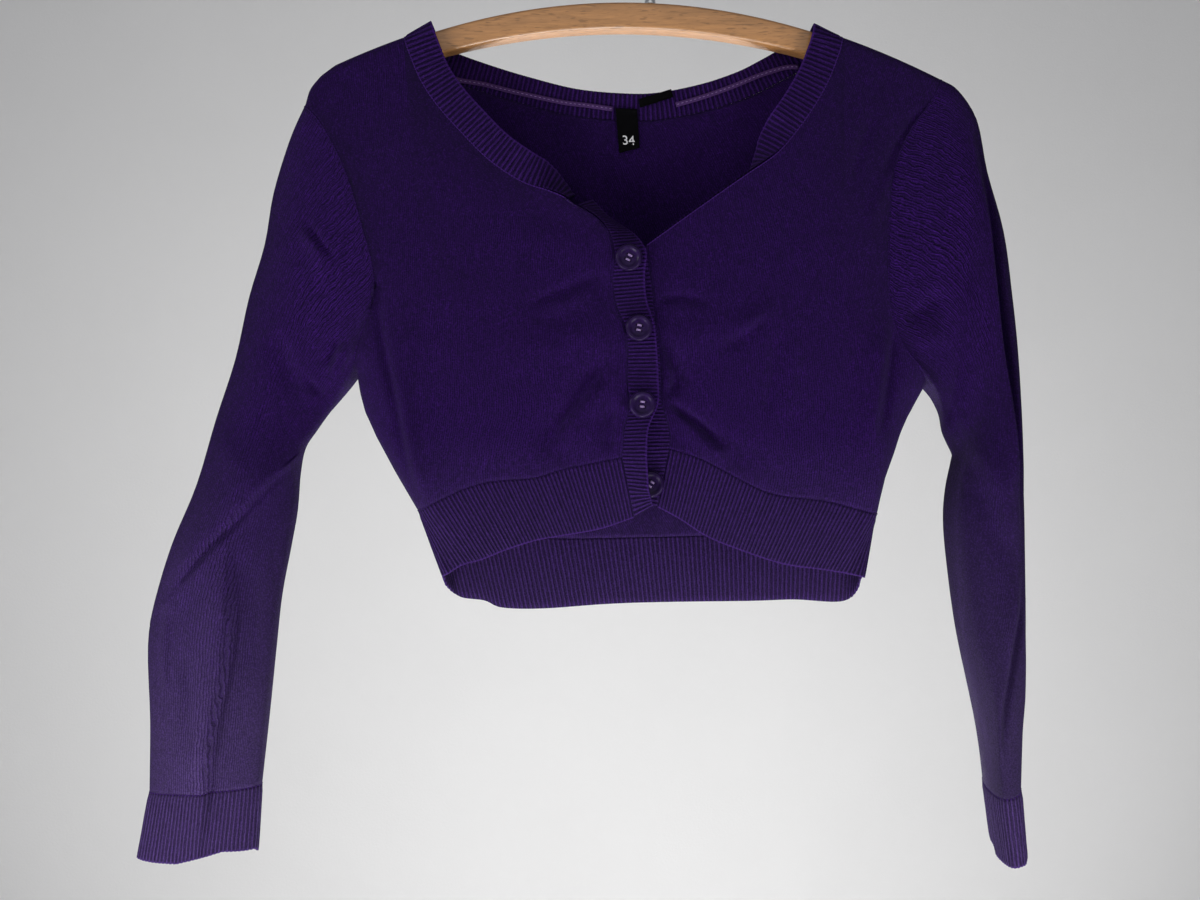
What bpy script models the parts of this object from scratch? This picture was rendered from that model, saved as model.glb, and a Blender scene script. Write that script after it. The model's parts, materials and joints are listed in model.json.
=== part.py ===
"""Cropped cardigan bolero hanging on a curved wooden clothes hanger.

Metres, +Z up. +X is to the right as the front is seen, -Y is the front, and the origin is the inner top of the
hanger's hook, where a rail carries it. The wearer's right side is at -X. Tables below are in millimetres.
"""

import math

import bmesh
import bpy
import numpy as np

MM = 0.001

# Walls and seams
KNIT_WALL = 1.5
RIB_WALL = 1.6
RIB_HEIGHT = 0.6
SEAM_GAP = 0.3

# Rib pitches, peak to peak
HEM_PITCH = 2.6
BACK_HEM_PITCH = 3.2
NECK_PITCH = 3.3
BAND_PITCH = 2.55

# The plain inside of a ribbed strip has a column for each of this many ribs at its ends, where it turns
CLOSE_RIBS = 6

# Hanger bar: a parabola of this top radius, its highest point left of the hook because the hanger hangs off balance
BAR_TOP_Z = -70.3
BAR_PEAK_X = -19.0
BAR_RADIUS = 427.0
BAR_RIGHT_END_X = -208.0
BAR_LEFT_END_X = 197.0
BAR_THICKNESS = 13.0
BAR_HEIGHT = 18.5
BAR_END_HEIGHT = 14.5
BAR_END_THICKNESS = 10.0
BAR_TOP_ROUND = 2.6
BAR_BOTTOM_CHAMFER = 1.5
BAR_STATIONS = 13
BAR_ENDS_ROUND = 0.955  # from here to 1, the share of half the bar over which each end rounds off

# Hook and its collar
HOOK_WIRE_RADIUS = 1.6
HOOK_LOOP_RADIUS = 20.0
HOOK_TIP_ANGLE = 205.0
HOOK_NECK_ANGLE = -62.0
HOOK_NECK = [(0.4, -10.0), (3.5, -3.5)]  # x, z below the loop, where the shank bends to it
HOOK_SHANK = 8.0
COLLAR_RADIUS = 4.2
COLLAR_TAPER = 0.8
COLLAR_HEIGHT = 4.5

# The cloth over the hanger: its outer face rides this far above the bar
CLOTH_OVER_BAR = 2.9
TOP_ROUND = 10.0

# Half the garment's depth by height
DEPTH_ROWS = [  # z, front, back
    (-90, 11.0, 11.0),
    (-130, 13.0, 12.5),
    (-180, 16.0, 14.5),
    (-240, 19.0, 16.5),
    (-310, 21.0, 18.0),
    (-380, 21.0, 19.0),
    (-430, 18.5, 18.5),
    (-500, 17.0, 18.0),
]

# Side seams: height, x, and how far in from it the front turns flat
RIGHT_SIDE = [  # z, x, front_turn
    (-329.8, -204.4, 20),
    (-343, -202.5, 25),
    (-356, -199.5, 28),
    (-373, -192.0, 24),
    (-397, -178.8, 18),
    (-421, -164.7, 15),
    (-436, -154.8, 12),
    (-451, -149.2, 10),
    (-471, -145.9, 8),
    (-500, -144.0, 8),
]
LEFT_SIDE = [  # z, x, front_turn
    (-336.6, 191.4, 22),
    (-347, 186.0, 25),
    (-359, 180.0, 24),
    (-371, 175.0, 20),
    (-385, 170.2, 15),
    (-402, 163.5, 10),
    (-415, 160.3, 9),
    (-432, 156.8, 9),
    (-451, 151.6, 8),
    (-471, 149.7, 8),
    (-500, 148.0, 8),
]
UNDERARM_Z = -335.0
SIDE_SEAM_BACK = 5.0
SEAM_BACK_FADE = 40.0
BACK_TURN = 9.0

# The fold past each end of the bar, over the shoulder tip and down the sleeve's outer edge
RIGHT_TIP = [  # x, z
    (-229.0, -121.8),
    (-236.6, -131.7),
    (-240.0, -143.0),
    (-245.5, -155.0),
    (-254.8, -175.8),
    (-262.5, -202.4),
    (-267.5, -232.0),
]
LEFT_TIP = [  # x, z
    (208.5, -127.6),
    (214.5, -132.6),
    (220.5, -137.4),
    (224.6, -143.0),
    (227.4, -151.0),
    (230.0, -162.0),
    (235.6, -191.6),
    (239.5, -215.0),
]

# Armhole seams on the front, from the shoulder tip to the underarm
RIGHT_ARMHOLE = [  # x, z
    (-240.0, -143.0),
    (-227.5, -155.5),
    (-213.0, -181.0),
    (-203.5, -206.0),
    (-197.0, -229.0),
    (-190.5, -252.0),
    (-188.5, -271.0),
    (-192.5, -290.0),
    (-198.5, -308.0),
    (-204.4, -329.8),
]
LEFT_ARMHOLE = [  # x, z
    (201.0, -124.5),
    (196.5, -134.5),
    (188.0, -148.0),
    (177.0, -163.0),
    (166.0, -188.0),
    (162.5, -215.0),
    (161.0, -250.0),
    (162.0, -284.0),
    (169.5, -308.0),
    (181.5, -325.0),
    (191.4, -336.6),
]
BACK_ARMHOLE_BOW = 0.35

# Neck seams, where the ribbed neck band joins the panels
NECK_POINT_RIGHT_X = -171.0
NECK_POINT_LEFT_X = 133.0
RIGHT_NECK = [  # x, z from below the shoulder to the top of the buttonhole band
    (-169.5, -99.5),
    (-166.5, -108.0),
    (-158.5, -127.0),
    (-146.8, -145.0),
    (-129.9, -164.2),
    (-111.1, -183.1),
    (-89.1, -198.0),
    (-70.6, -204.5),
    (-60.0, -209.0),
    (-51.0, -215.5),
]
LEFT_NECK = [  # x, z from below the shoulder to the top of the button band
    (132.0, -99.5),
    (129.5, -109.0),
    (122.0, -128.0),
    (112.0, -146.0),
    (100.0, -163.0),
    (86.0, -179.0),
    (66.0, -193.0),
    (46.0, -207.0),
    (24.0, -222.5),
    (8.0, -234.0),
    (-3.0, -242.0),
]
BACK_NECK = [  # x, z from the wearer's right shoulder to the left
    (-169.5, -99.5),
    (-165.5, -106.5),
    (-157.0, -113.0),
    (-142.0, -119.5),
    (-119.0, -127.0),
    (-93.0, -134.5),
    (-56.0, -143.5),
    (-20.0, -147.0),
    (8.0, -146.5),
    (42.0, -140.0),
    (70.0, -131.0),
    (90.0, -121.5),
    (107.0, -112.5),
    (120.5, -106.0),
    (129.0, -101.5),
    (132.0, -97.5),
]

# Front bands: seam and free edge. out is how far the free edge stands in front of the seam edge
BUTTONHOLE_BAND = [  # seam_x, seam_z, free_x, free_z, out
    (-49.5, -216.0, -40.5, -207.0, -16.5),
    (-41.5, -221.0, -30.0, -218.0, -17.0),
    (-34.5, -227.0, -20.5, -225.5, -15.0),
    (-28.5, -235.5, -12.0, -233.5, -6.0),
    (-26.0, -243.0, -6.5, -241.0, -1.0),
    (-25.0, -250.7, -3.8, -248.5, 0.0),
    (-26.5, -265.0, -5.0, -263.5, 0.0),
    (-24.5, -282.0, -3.6, -280.0, 0.0),
    (-18.0, -298.5, 1.6, -297.0, 0.0),
    (-16.3, -316.5, 3.4, -316.0, 0.0),
    (-16.6, -334.0, 4.2, -334.0, 0.0),
    (-15.2, -350.9, 4.0, -350.0, 0.5),
    (-18.6, -367.5, -2.6, -367.0, 3.0),
    (-20.0, -385.4, -3.8, -385.4, 4.5),
    (-17.7, -401.0, -3.4, -403.5, 5.5),
    (-13.5, -418.5, -0.6, -416.5, 4.0),
    (-11.5, -427.5, 0.6, -419.5, 3.0),
]
BUTTON_BAND = [  # seam_x, seam_z, free_x, free_z, out
    (-3.0, -245.0, -19.5, -254.0, 0.0),
    (-2.0, -254.0, -20.5, -259.0, 0.0),
    (0.8, -271.0, -20.0, -271.0, 0.0),
    (2.4, -291.0, -17.0, -291.0, 0.0),
    (5.2, -307.3, -13.5, -307.3, 0.0),
    (6.7, -330.5, -12.5, -330.5, 0.0),
    (7.0, -347.5, -12.0, -347.5, 0.0),
    (11.4, -363.5, -10.5, -363.5, 0.0),
    (12.9, -375.5, -11.0, -376.0, 0.0),
    (10.9, -390.0, -12.0, -391.0, 0.0),
    (7.5, -405.0, -12.5, -405.0, 0.0),
    (4.5, -419.5, -9.5, -418.0, 0.0),
]
FRONT_BAND_GAP = 0.5
OVER_FORWARD = 1.8
UNDER_BACK = 2.0
BANDS_X = -8.0
OVERLAP_FADE = 45.0

# Top and bottom edges of the ribbed hem
RIGHT_HEM_TOP = [  # x, z from the buttonhole band to the side seam
    (-20.5, -386.5),
    (-58.0, -394.0),
    (-80.0, -400.3),
    (-108.5, -402.8),
    (-128.0, -408.0),
    (-146.0, -416.5),
    (-158.0, -422.5),
    (-162.9, -424.0),
]
RIGHT_HEM_BOTTOM = [  # x, z
    (-12.2, -427.5),
    (-36.4, -435.5),
    (-63.0, -440.3),
    (-80.0, -443.5),
    (-100.0, -450.0),
    (-115.3, -456.2),
    (-128.8, -460.0),
    (-139.5, -466.5),
    (-146.1, -470.0),
]
LEFT_HEM_TOP = [  # x, z from the button band to the side seam
    (12.6, -380.5),
    (33.2, -387.3),
    (52.8, -397.3),
    (72.4, -407.5),
    (90.0, -412.8),
    (118.0, -416.0),
    (138.0, -421.0),
    (151.0, -424.5),
    (158.4, -426.0),
]
LEFT_HEM_BOTTOM = [  # x, z
    (4.5, -420.5),
    (20.1, -429.0),
    (37.5, -440.3),
    (59.4, -449.3),
    (90.0, -459.3),
    (118.2, -463.3),
    (139.0, -467.0),
    (149.8, -470.0),
]
BACK_HEM_TOP = [  # x, z from the wearer's right side to the left
    (-162.9, -424.0),
    (-155.0, -428.5),
    (-136.0, -437.0),
    (-105.0, -443.0),
    (-57.0, -445.0),
    (0.0, -444.0),
    (39.0, -443.0),
    (90.0, -441.5),
    (130.0, -437.0),
    (150.5, -430.5),
    (158.4, -426.0),
]
BACK_HEM_BOTTOM = [  # x, z
    (-146.1, -470.5),
    (-143.5, -479.5),
    (-135.0, -487.0),
    (-118.0, -489.5),
    (-105.0, -494.6),
    (-75.5, -495.2),
    (-30.0, -492.0),
    (11.5, -490.6),
    (73.0, -489.8),
    (104.6, -488.8),
    (130.0, -490.4),
    (142.0, -489.0),
    (147.6, -482.0),
    (149.8, -470.5),
]

# Sleeves: the outer and inner edge of each section, half its depth, and the skew that turns it about its own length
RIGHT_SLEEVE = [  # outer_x, outer_z, inner_x, inner_z, depth, skew, y
    (-240.0, -143.0, -204.4, -329.8, 16, 0, 0),
    (-251.0, -167.0, -209.0, -337.0, 16, 0, 0),
    (-262.5, -202.4, -216.5, -346.5, 16, 0, 0),
    (-269.0, -238.0, -225.0, -356.5, 15, 0, 0),
    (-280.0, -275.0, -233.5, -368.5, 14, 0, 0),
    (-289.5, -318.0, -241.5, -381.0, 14, 0, 0),
    (-302.5, -360.0, -245.3, -399.0, 14, 5, 0),
    (-315.5, -406.0, -247.5, -424.0, 14, 8, 0),
    (-331.5, -445.5, -252.0, -450.0, 13, 8, 0),
    (-345.0, -486.0, -258.0, -483.0, 13, 5, 0),
    (-350.8, -518.0, -261.5, -518.0, 13, 0, 0),
    (-349.2, -570.0, -266.8, -570.0, 13, 0, 0),
    (-349.6, -619.5, -271.8, -615.0, 13, 0, 0),
]
LEFT_SLEEVE = [  # outer_x, outer_z, inner_x, inner_z, depth, skew, y
    (201.0, -124.5, 191.4, -336.6, 16, 0, 0),
    (213.0, -132.0, 199.5, -346.5, 17, 4, 0),
    (225.0, -152.0, 205.0, -358.0, 18, 14, 0),
    (230.4, -189.5, 208.5, -368.9, 20, 32, 0),
    (240.5, -231.0, 212.8, -377.0, 22, 38, 0),
    (245.7, -273.6, 217.3, -386.0, 23, 40, 0),
    (249.5, -314.0, 216.6, -393.0, 24, 40, 0),
    (252.3, -364.6, 212.9, -410.5, 25, 38, 0),
    (253.7, -412.3, 211.3, -431.9, 26, 34, 0),
    (254.8, -456.7, 213.4, -461.9, 27, 28, 0),
    (256.8, -512.0, 219.0, -512.0, 28, 12, 0),
    (257.9, -568.0, 229.2, -568.0, 28, -12, 0),
    (256.6, -612.0, 235.1, -618.0, 28, -20, 0),
]
RIGHT_CUFF_END = [(-358.0, -667.0, -275.0, -663.0, 13, 0, 0)]
LEFT_CUFF_END = [(259.8, -655.0, 241.2, -659.0, 28, -20, 0)]
ARMHOLE_GAP = 0.5
SLEEVE_POWER = 2.3
SEAM_BOW_FADE = 0.28

# Soft folds: a line from x1, z1 to x2, z2, how far it stands out, and its width above and below the line
SLEEVE_FOLDS_RIGHT = [  # x1, z1, x2, z2, out, above, below
    (-242.0, -382.0, -337.0, -490.0, 4.5, 40, 7),
    (-232.0, -230.0, -218.0, -262.0, 1.8, 12, 7),
    (-288.0, -440.0, -304.0, -600.0, 2.5, 13, 11),
]
SLEEVE_FOLDS_LEFT = [
    (226.0, -150.0, 250.0, -400.0, 2.0, 10, 10),
    (206.0, -395.0, 246.0, -408.0, 2.0, 14, 7),
]
FRONT_FOLDS = [
    (-28.0, -268.0, -72.0, -296.0, -1.8, 9, 9),
    (-22.0, -300.0, -95.0, -318.0, 1.6, 12, 12),
    (12.0, -306.0, 80.0, -292.0, 1.5, 12, 12),
    (16.0, -366.0, 72.0, -388.0, -2.2, 10, 10),
    (-26.0, -352.0, -70.0, -384.0, -1.6, 10, 10),
    (-172.0, -300.0, -150.0, -412.0, 2.0, 14, 14),
    (158.0, -300.0, 146.0, -412.0, 2.0, 12, 12),
]
BACK_FOLDS = [
    (-120.0, -330.0, -60.0, -425.0, 1.8, 16, 12),
    (110.0, -345.0, 70.0, -425.0, 1.6, 14, 14),
    (-20.0, -300.0, -8.0, -430.0, 1.2, 18, 16),
]

# Buttons: three fastened over the buttonhole band, the fourth left undone on the button band
BUTTON_RADIUS = 9.1
BUTTON_THICKNESS = 3.0
BUTTON_HOLE_RADIUS = 0.95
BUTTON_HOLE_SPREAD = 2.3
BUTTON_PROFILE = [  # share of the radius, share of the thickness, from the dished middle over the rim to the back
    (0.0, 0.63),
    (0.62, 0.73),
    (0.74, 1.0),
    (0.92, 0.86),
    (1.0, 0.45),
    (0.72, 0.0),
    (0.0, 0.0),
]
BUTTONS = [  # x, z, forward, turn to the side, turn down, turned about itself
    (-15.3, -251.4, 0.8, -4, 3, 28),
    (-8.6, -298.9, 0.1, 0, 0, 12),
    (-6.5, -350.7, 1.3, 3, 0, 6),
    (-0.4, -404.8, 0.1, 0, 0, 35),
]
BUTTON_SIDES = 16

# Labels and neck tapes, on the inside of the back
SIZE_LABEL = [(-24.0, -139.0), (-8.6, -139.6), (-6.8, -166.5), (-21.3, -170.3)]
BLANK_LABEL = [(-6.6, -138.5), (17.0, -131.0), (15.5, -125.5), (-7.5, -132.5)]
LABEL_THICKNESS = 0.8
TAPE_WIDTH = 3.4
TAPE_THICKNESS = 0.8
RIGHT_TAPE = [  # x, z
    (-141.0, -117.0),
    (-134.0, -119.5),
    (-118.0, -122.0),
    (-100.0, -126.5),
    (-82.0, -130.5),
    (-60.0, -135.0),
    (-43.0, -137.0),
    (-26.0, -139.5),
]
LEFT_TAPE = [  # x, z
    (19.0, -136.5),
    (38.0, -131.0),
    (58.0, -124.0),
    (78.0, -116.0),
    (96.0, -110.5),
    (106.0, -110.0),
]

# Steps of the meshes
SHOULDER_COLUMNS = 5
SHOULDER_EASE = 1.6
COLUMN_LEAN = 14.0
FRONT_NECK_COLUMNS = 11
BACK_NECK_COLUMNS = 17
SIDE_ROWS = 4
ARMHOLE_ROWS = 9
SLEEVE_RINGS = 20
SLEEVE_RING_EASE = 1.15
SEAM_PARTS = 4
TOP_STEPS = [0.0, 1.2, 3.2, 6.0, 10.0]
NECK_STEPS = [1.5, 4.0, 8.0]

# How the neck band turns along its seam: 0 lies in the panel, 90 points into the garment
RIGHT_NECK_ROLL = [  # fraction from the shoulder to the front band, roll
    (0.0, -6),
    (0.10, 0),
    (0.72, 0),
    (0.82, 14),
    (0.89, 48),
    (0.94, 68),
    (1.0, 72),
]
LEFT_NECK_ROLL = [
    (0.0, -6),
    (0.10, 0),
    (0.36, 8),
    (0.46, 40),
    (0.56, 88),
    (0.68, 104),
    (1.0, 108),
]
SHOULDER_ROLL = -16
BACK_ROLL = 4
NECK_BAND_FRONT = 21.0
NECK_BAND_BACK = 18.5
NECK_BAND_TRIM = 1
TUCK_FROM_ROLL = 55

# A point this near a fold or a side seam is on it
ON_LINE = 0.4

# How far the hem's outer side leans sideways for each millimetre from the middle
OUT_PER_MM = 0.004

FOLD_POWER = 2.6
TURN_POWER = 2.0

# Colours: linear red, green, blue, with roughness and metallic
KNIT_COLOUR = (0.034, 0.012, 0.088, 0.92, 0.0)
RIB_COLOUR = (0.040, 0.016, 0.100, 0.92, 0.0)
BUTTON_COLOUR = (0.055, 0.022, 0.125, 0.28, 0.0)
TAPE_COLOUR = (0.10, 0.045, 0.16, 0.80, 0.0)
LABEL_COLOUR = (0.006, 0.006, 0.007, 0.75, 0.0)
BEECH_COLOUR = (0.42, 0.20, 0.075, 0.42, 0.0)
STEEL_COLOUR = (0.55, 0.55, 0.56, 0.28, 1.0)


# Curves

def spline(rows, per_span=6):
    """Points of a Catmull-Rom curve through the rows."""
    points = np.array(rows, float)
    padded = np.vstack([2 * points[0] - points[1], points, 2 * points[-1] - points[-2]])
    steps = np.linspace(0, 1, per_span, endpoint=False)[:, None]
    spans = []
    for i in range(len(points) - 1):
        a, b, c, d = padded[i : i + 4]
        spans.append(
            0.5 * (2 * b + (c - a) * steps + (2 * a - 5 * b + 4 * c - d) * steps**2 + (3 * b - a - 3 * c + d) * steps**3)
        )
    return np.vstack([*spans, points[-1:]])


def lengths_along(points):
    """The share of the curve's length at each of its points, and the whole length."""
    steps = np.linalg.norm(np.diff(points, axis=0), axis=1)
    run = np.concatenate([[0.0], np.cumsum(steps)])
    return run / run[-1], run[-1]


def at(points, fraction):
    """Points of a curve at these shares of its length."""
    share = lengths_along(points)[0]
    return np.stack([np.interp(fraction, share, points[:, k]) for k in range(points.shape[1])], -1)


def table(rows, column, key):
    rows = np.array(rows, float)
    order = np.argsort(rows[:, 0])
    return np.interp(key, rows[order, 0], rows[order, column])


def distance_to(path, x, z):
    """Distance of each point (x, z) from a polyline."""
    start, step = path[:-1], np.diff(path, axis=0)
    offset = np.stack([x, z], -1)[..., None, :] - start
    share = np.clip((offset * step).sum(-1) / (step**2).sum(-1), 0, 1)
    return np.linalg.norm(offset - share[..., None] * step, axis=-1).min(-1)


def roundness(share, power):
    """A quarter of a superellipse: 0 at the fold, 1 once the cloth lies flat."""
    return (1 - (1 - np.clip(share, 0, 1)) ** power) ** (1 / power)


def smooth_step(share):
    share = np.clip(share, 0, 1)
    return share * share * (3 - 2 * share)


# The cloth sheets: front and back, folded at the shoulders and sleeves' edges and turned at the side seams

def shoulder_z(x):
    return BAR_TOP_Z + CLOTH_OVER_BAR - (x - BAR_PEAK_X) ** 2 / (2 * BAR_RADIUS)


def fold_line():
    crown = np.linspace(RIGHT_TIP[0][0] + 10, LEFT_TIP[0][0] - 5, 40)
    arc = np.stack([crown, shoulder_z(crown)], -1)
    return np.vstack([spline(RIGHT_TIP)[::-1], arc, spline(LEFT_TIP)])


FOLD_LINE = fold_line()
SIDE_LINES = {
    "right": np.array([(x, z) for z, x, _ in RIGHT_SIDE]),
    "left": np.array([(x, z) for z, x, _ in LEFT_SIDE]),
}


def fold_relief(x, z, folds):
    """How far the soft folds stand out at each point."""
    relief = np.zeros_like(x)
    for x1, z1, x2, z2, out, above, below in folds:
        run = np.array([x2 - x1, z2 - z1])
        length = np.hypot(*run)
        run = run / length
        along = (x - x1) * run[0] + (z - z1) * run[1]
        across = -(x - x1) * run[1] + (z - z1) * run[0]
        across = across * (1 if run[0] >= 0 else -1)
        width = np.where(across > 0, above, below)
        ends = smooth_step((along + width) / (2 * width)) * smooth_step((length - along + width) / (2 * width))
        relief += out * ends * np.exp(-((across / width) ** 2))
    return relief


def sheet_y(x, z, face, folds, layer=0.0):
    """Depth of the front (face -1) or back (face 1) sheet. layer moves it where the fronts overlap."""
    x, z = np.asarray(x, float), np.asarray(z, float)
    depth = table(DEPTH_ROWS, 1 if face < 0 else 2, z)
    top = roundness(distance_to(FOLD_LINE, x, z) / TOP_ROUND, FOLD_POWER)
    side_rows = {"right": RIGHT_SIDE, "left": LEFT_SIDE}
    turned = np.ones_like(x)
    for side, line in SIDE_LINES.items():
        turn = table(side_rows[side], 2, z) if face < 0 else BACK_TURN
        turned = turned * roundness(distance_to(line, x, z) / turn, TURN_POWER)
    seam_back = SIDE_SEAM_BACK * smooth_step((UNDERARM_Z - z) / SEAM_BACK_FADE)
    overlap = layer * smooth_step(1.3 - np.abs(x - BANDS_X) / OVERLAP_FADE)
    relief = fold_relief(x, z, folds)
    out = SEAM_GAP / 2 + (depth + relief) * top * turned
    return face * out + seam_back * (1 - turned) + overlap


def on_sheet(points, face, folds=(), layer=0.0):
    """(x, z) points set at their depth on a sheet, as (x, y, z)."""
    return np.stack([points[..., 0], sheet_y(points[..., 0], points[..., 1], face, folds, layer), points[..., 1]], -1)


# Walls: an outer grid and a coarser inner one, joined round their rims

def stitched(outer, inner):
    """Triangles between two rows of vertices that run side by side, each a list of (share, index)."""
    faces = []
    i = j = 0
    while i < len(outer) - 1 or j < len(inner) - 1:
        if j == len(inner) - 1 or (i < len(outer) - 1 and outer[i + 1][0] <= inner[j + 1][0]):
            faces.append((outer[i][1], outer[i + 1][1], inner[j][1]))
            i += 1
        else:
            faces.append((outer[i][1], inner[j + 1][1], inner[j][1]))
            j += 1
    return faces


def wall(name, outer, inner, us, vs, inner_us, inner_vs, colour, closed=False):
    """A closed cloth wall from grids of points [column][row]. closed joins its last column to its first."""
    points = np.vstack([outer.reshape(-1, 3), inner.reshape(-1, 3)]) * MM
    rows, inner_rows = len(vs), len(inner_vs)
    start = outer.shape[0] * rows

    def out_at(i, j):
        return (i % outer.shape[0]) * rows + j

    def in_at(i, j):
        return start + (i % inner.shape[0]) * inner_rows + j

    columns = len(us) - (0 if closed else 1)
    inner_columns = len(inner_us) - (0 if closed else 1)
    faces = [
        (out_at(i, j), out_at(i + 1, j), out_at(i + 1, j + 1), out_at(i, j + 1))
        for i in range(columns)
        for j in range(rows - 1)
    ]
    faces += [
        (in_at(i, j), in_at(i, j + 1), in_at(i + 1, j + 1), in_at(i + 1, j))
        for i in range(inner_columns)
        for j in range(inner_rows - 1)
    ]
    us_round = [*us, 1.0] if closed else list(us)
    inner_round = [*inner_us, 1.0] if closed else list(inner_us)
    for row, inner_row, turn in ((0, 0, -1), (rows - 1, inner_rows - 1, 1)):
        edge = [(u, out_at(i, row)) for i, u in enumerate(us_round)]
        inner_edge = [(u, in_at(i, inner_row)) for i, u in enumerate(inner_round)]
        faces += [f[::turn] for f in stitched(edge, inner_edge)]
    if not closed:
        for i, inner_i, turn in ((0, 0, 1), (len(us) - 1, len(inner_us) - 1, -1)):
            edge = [(v, out_at(i, j)) for j, v in enumerate(vs)]
            inner_edge = [(v, in_at(inner_i, j)) for j, v in enumerate(inner_vs)]
            faces += [f[::turn] for f in stitched(edge, inner_edge)]
    return mesh_object(name, points, faces, colour)


def mesh_object(name, points, faces, colour):
    """An object from points and faces, its normals made to point out."""
    mesh = bpy.data.meshes.new(name)
    mesh.from_pydata([tuple(p) for p in points], [], faces)
    shape = bmesh.new()
    shape.from_mesh(mesh)
    bmesh.ops.recalc_face_normals(shape, faces=shape.faces)
    if shape.calc_volume(signed=True) < 0:
        bmesh.ops.reverse_faces(shape, faces=shape.faces)
    shape.to_mesh(mesh)
    shape.free()
    return added(name, mesh, colour)


def added(name, mesh, colour):
    mesh.materials.append(material_of(name, colour))
    piece = bpy.data.objects.new(name, mesh)
    PARTS.objects.link(piece)
    mesh.shade_smooth()
    mesh.set_sharp_from_angle(angle=math.radians(40))
    return piece


def material_of(name, colour):
    made = bpy.data.materials.new(name)
    made.use_nodes = True
    shader = made.node_tree.nodes["Principled BSDF"]
    shader.inputs["Base Color"].default_value = (*colour[:3], 1)
    shader.inputs["Roughness"].default_value = colour[3]
    shader.inputs["Metallic"].default_value = colour[4]
    return made


def normals_of(surface, us, vs, closed, toward):
    """Unit normals of a parametric surface. toward gives the outward side at each point."""
    step = 0.002
    u, v = np.meshgrid(us, vs, indexing="ij")
    if closed:
        low_u, high_u = u - step, u + step
    else:
        low_u, high_u = np.maximum(u - step, us[0]), np.minimum(u + step, us[-1])
    low_v, high_v = np.maximum(v - step, vs[0]), np.minimum(v + step, vs[-1])
    normal = np.cross(surface(high_u, v) - surface(low_u, v), surface(u, high_v) - surface(u, low_v))
    normal /= np.maximum(np.linalg.norm(normal, axis=-1, keepdims=True), 1e-9)
    side = toward(u, v, surface(u, v))
    flip = np.sign((normal * side).sum(-1, keepdims=True).mean())
    return normal * flip


# Seams

def across_of(path, toward):
    """Unit vectors across a seam's (x, z) path, on the side that toward, an (x, z) vector, points to."""
    run = np.gradient(path, axis=0)
    across = np.stack([-run[:, 1], np.zeros(len(run)), run[:, 0]], -1)
    across /= np.linalg.norm(across, axis=-1, keepdims=True)
    return across * np.sign((across[:, [0, 2]] @ np.array(toward, float)).mean())


def squared(normals, across):
    """Normals without their part across a seam, so that the walls either side of it stay a gap apart."""
    flat = normals - across * (normals * across).sum(-1, keepdims=True)
    return flat / np.linalg.norm(flat, axis=-1, keepdims=True)


def subdivided(points):
    """The polyline with each span cut into equal parts."""
    place = np.arange((len(points) - 1) * SEAM_PARTS + 1) / SEAM_PARTS
    return np.stack([np.interp(place, np.arange(len(points)), points[:, k]) for k in range(points.shape[1])], -1)


def armhole(side, face):
    """The armhole seam from tip to underarm. The back's is straighter."""
    front = spline(RIGHT_ARMHOLE if side == "right" else LEFT_ARMHOLE)
    if face < 0:
        return front
    share = lengths_along(front)[0][:, None]
    straight = front[0] + (front[-1] - front[0]) * share
    return straight + (front - straight) * BACK_ARMHOLE_BOW


def armhole_shares():
    """The rows down an armhole, close together over the rounded shoulder."""
    whole = lengths_along(armhole("right", -1))[1]
    even = (1 - np.cos(np.pi * np.arange(ARMHOLE_ROWS + 1) / ARMHOLE_ROWS)) / 2
    return np.array([*(np.array(TOP_STEPS) / whole), *even[even * whole > 1.5 * TOP_STEPS[-1]]])


# Panels

def side_x(side, z):
    line = SIDE_LINES[side]
    return np.interp(-z, -line[:, 1], line[:, 0])


def side_points(side, face, hem_z):
    """A panel's side, from the hem up the side seam and round the armhole to the shoulder tip."""
    line = SIDE_LINES[side]
    seam = np.vstack([[(side_x(side, hem_z), hem_z)], line[line[:, 1] > hem_z + 3][::-1]])
    low = at(seam, np.arange(SIDE_ROWS) / SIDE_ROWS)
    return np.vstack([low, at(armhole(side, face), armhole_shares()[::-1])])


def shoulder_points(start_x, tip):
    """The shoulder seam, along the fold from the neck point to the armhole's top, without the neck point."""
    share = 1 - (1 - np.arange(1, SHOULDER_COLUMNS + 1) / SHOULDER_COLUMNS) ** SHOULDER_EASE
    xs = start_x + (tip[0] - start_x) * share
    points = np.stack([xs, np.interp(xs, FOLD_LINE[:, 0], FOLD_LINE[:, 1])], -1)
    points[-1] = tip
    return points


def neck_points(rows, first_x, last_x, columns):
    """A neck seam between its ends, closer together where it rounds over a shoulder. An x of None is at the front."""
    ends = [np.array([(x, shoulder_z(x))]) for x in (first_x, last_x) if x is not None]
    path = np.vstack([ends[0], spline(rows)] + ends[1:])
    steps = np.array([0.0, *NECK_STEPS]) / lengths_along(path)[1]
    last = 1.0 if last_x is None else 1 - steps[-1]
    even = np.linspace(steps[-1], last, columns)
    return at(path, [*steps[:-1], *even, *([] if last_x is None else 1 - steps[-2::-1])])


def from_straight(path):
    """How far up the straight line between its ends each point of a path is, and its offset from there."""
    whole = path[-1] - path[0]
    rise = ((path - path[0]) @ whole) / (whole @ whole)
    return np.column_stack([rise, path - path[0] - rise[:, None] * whole])


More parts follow.
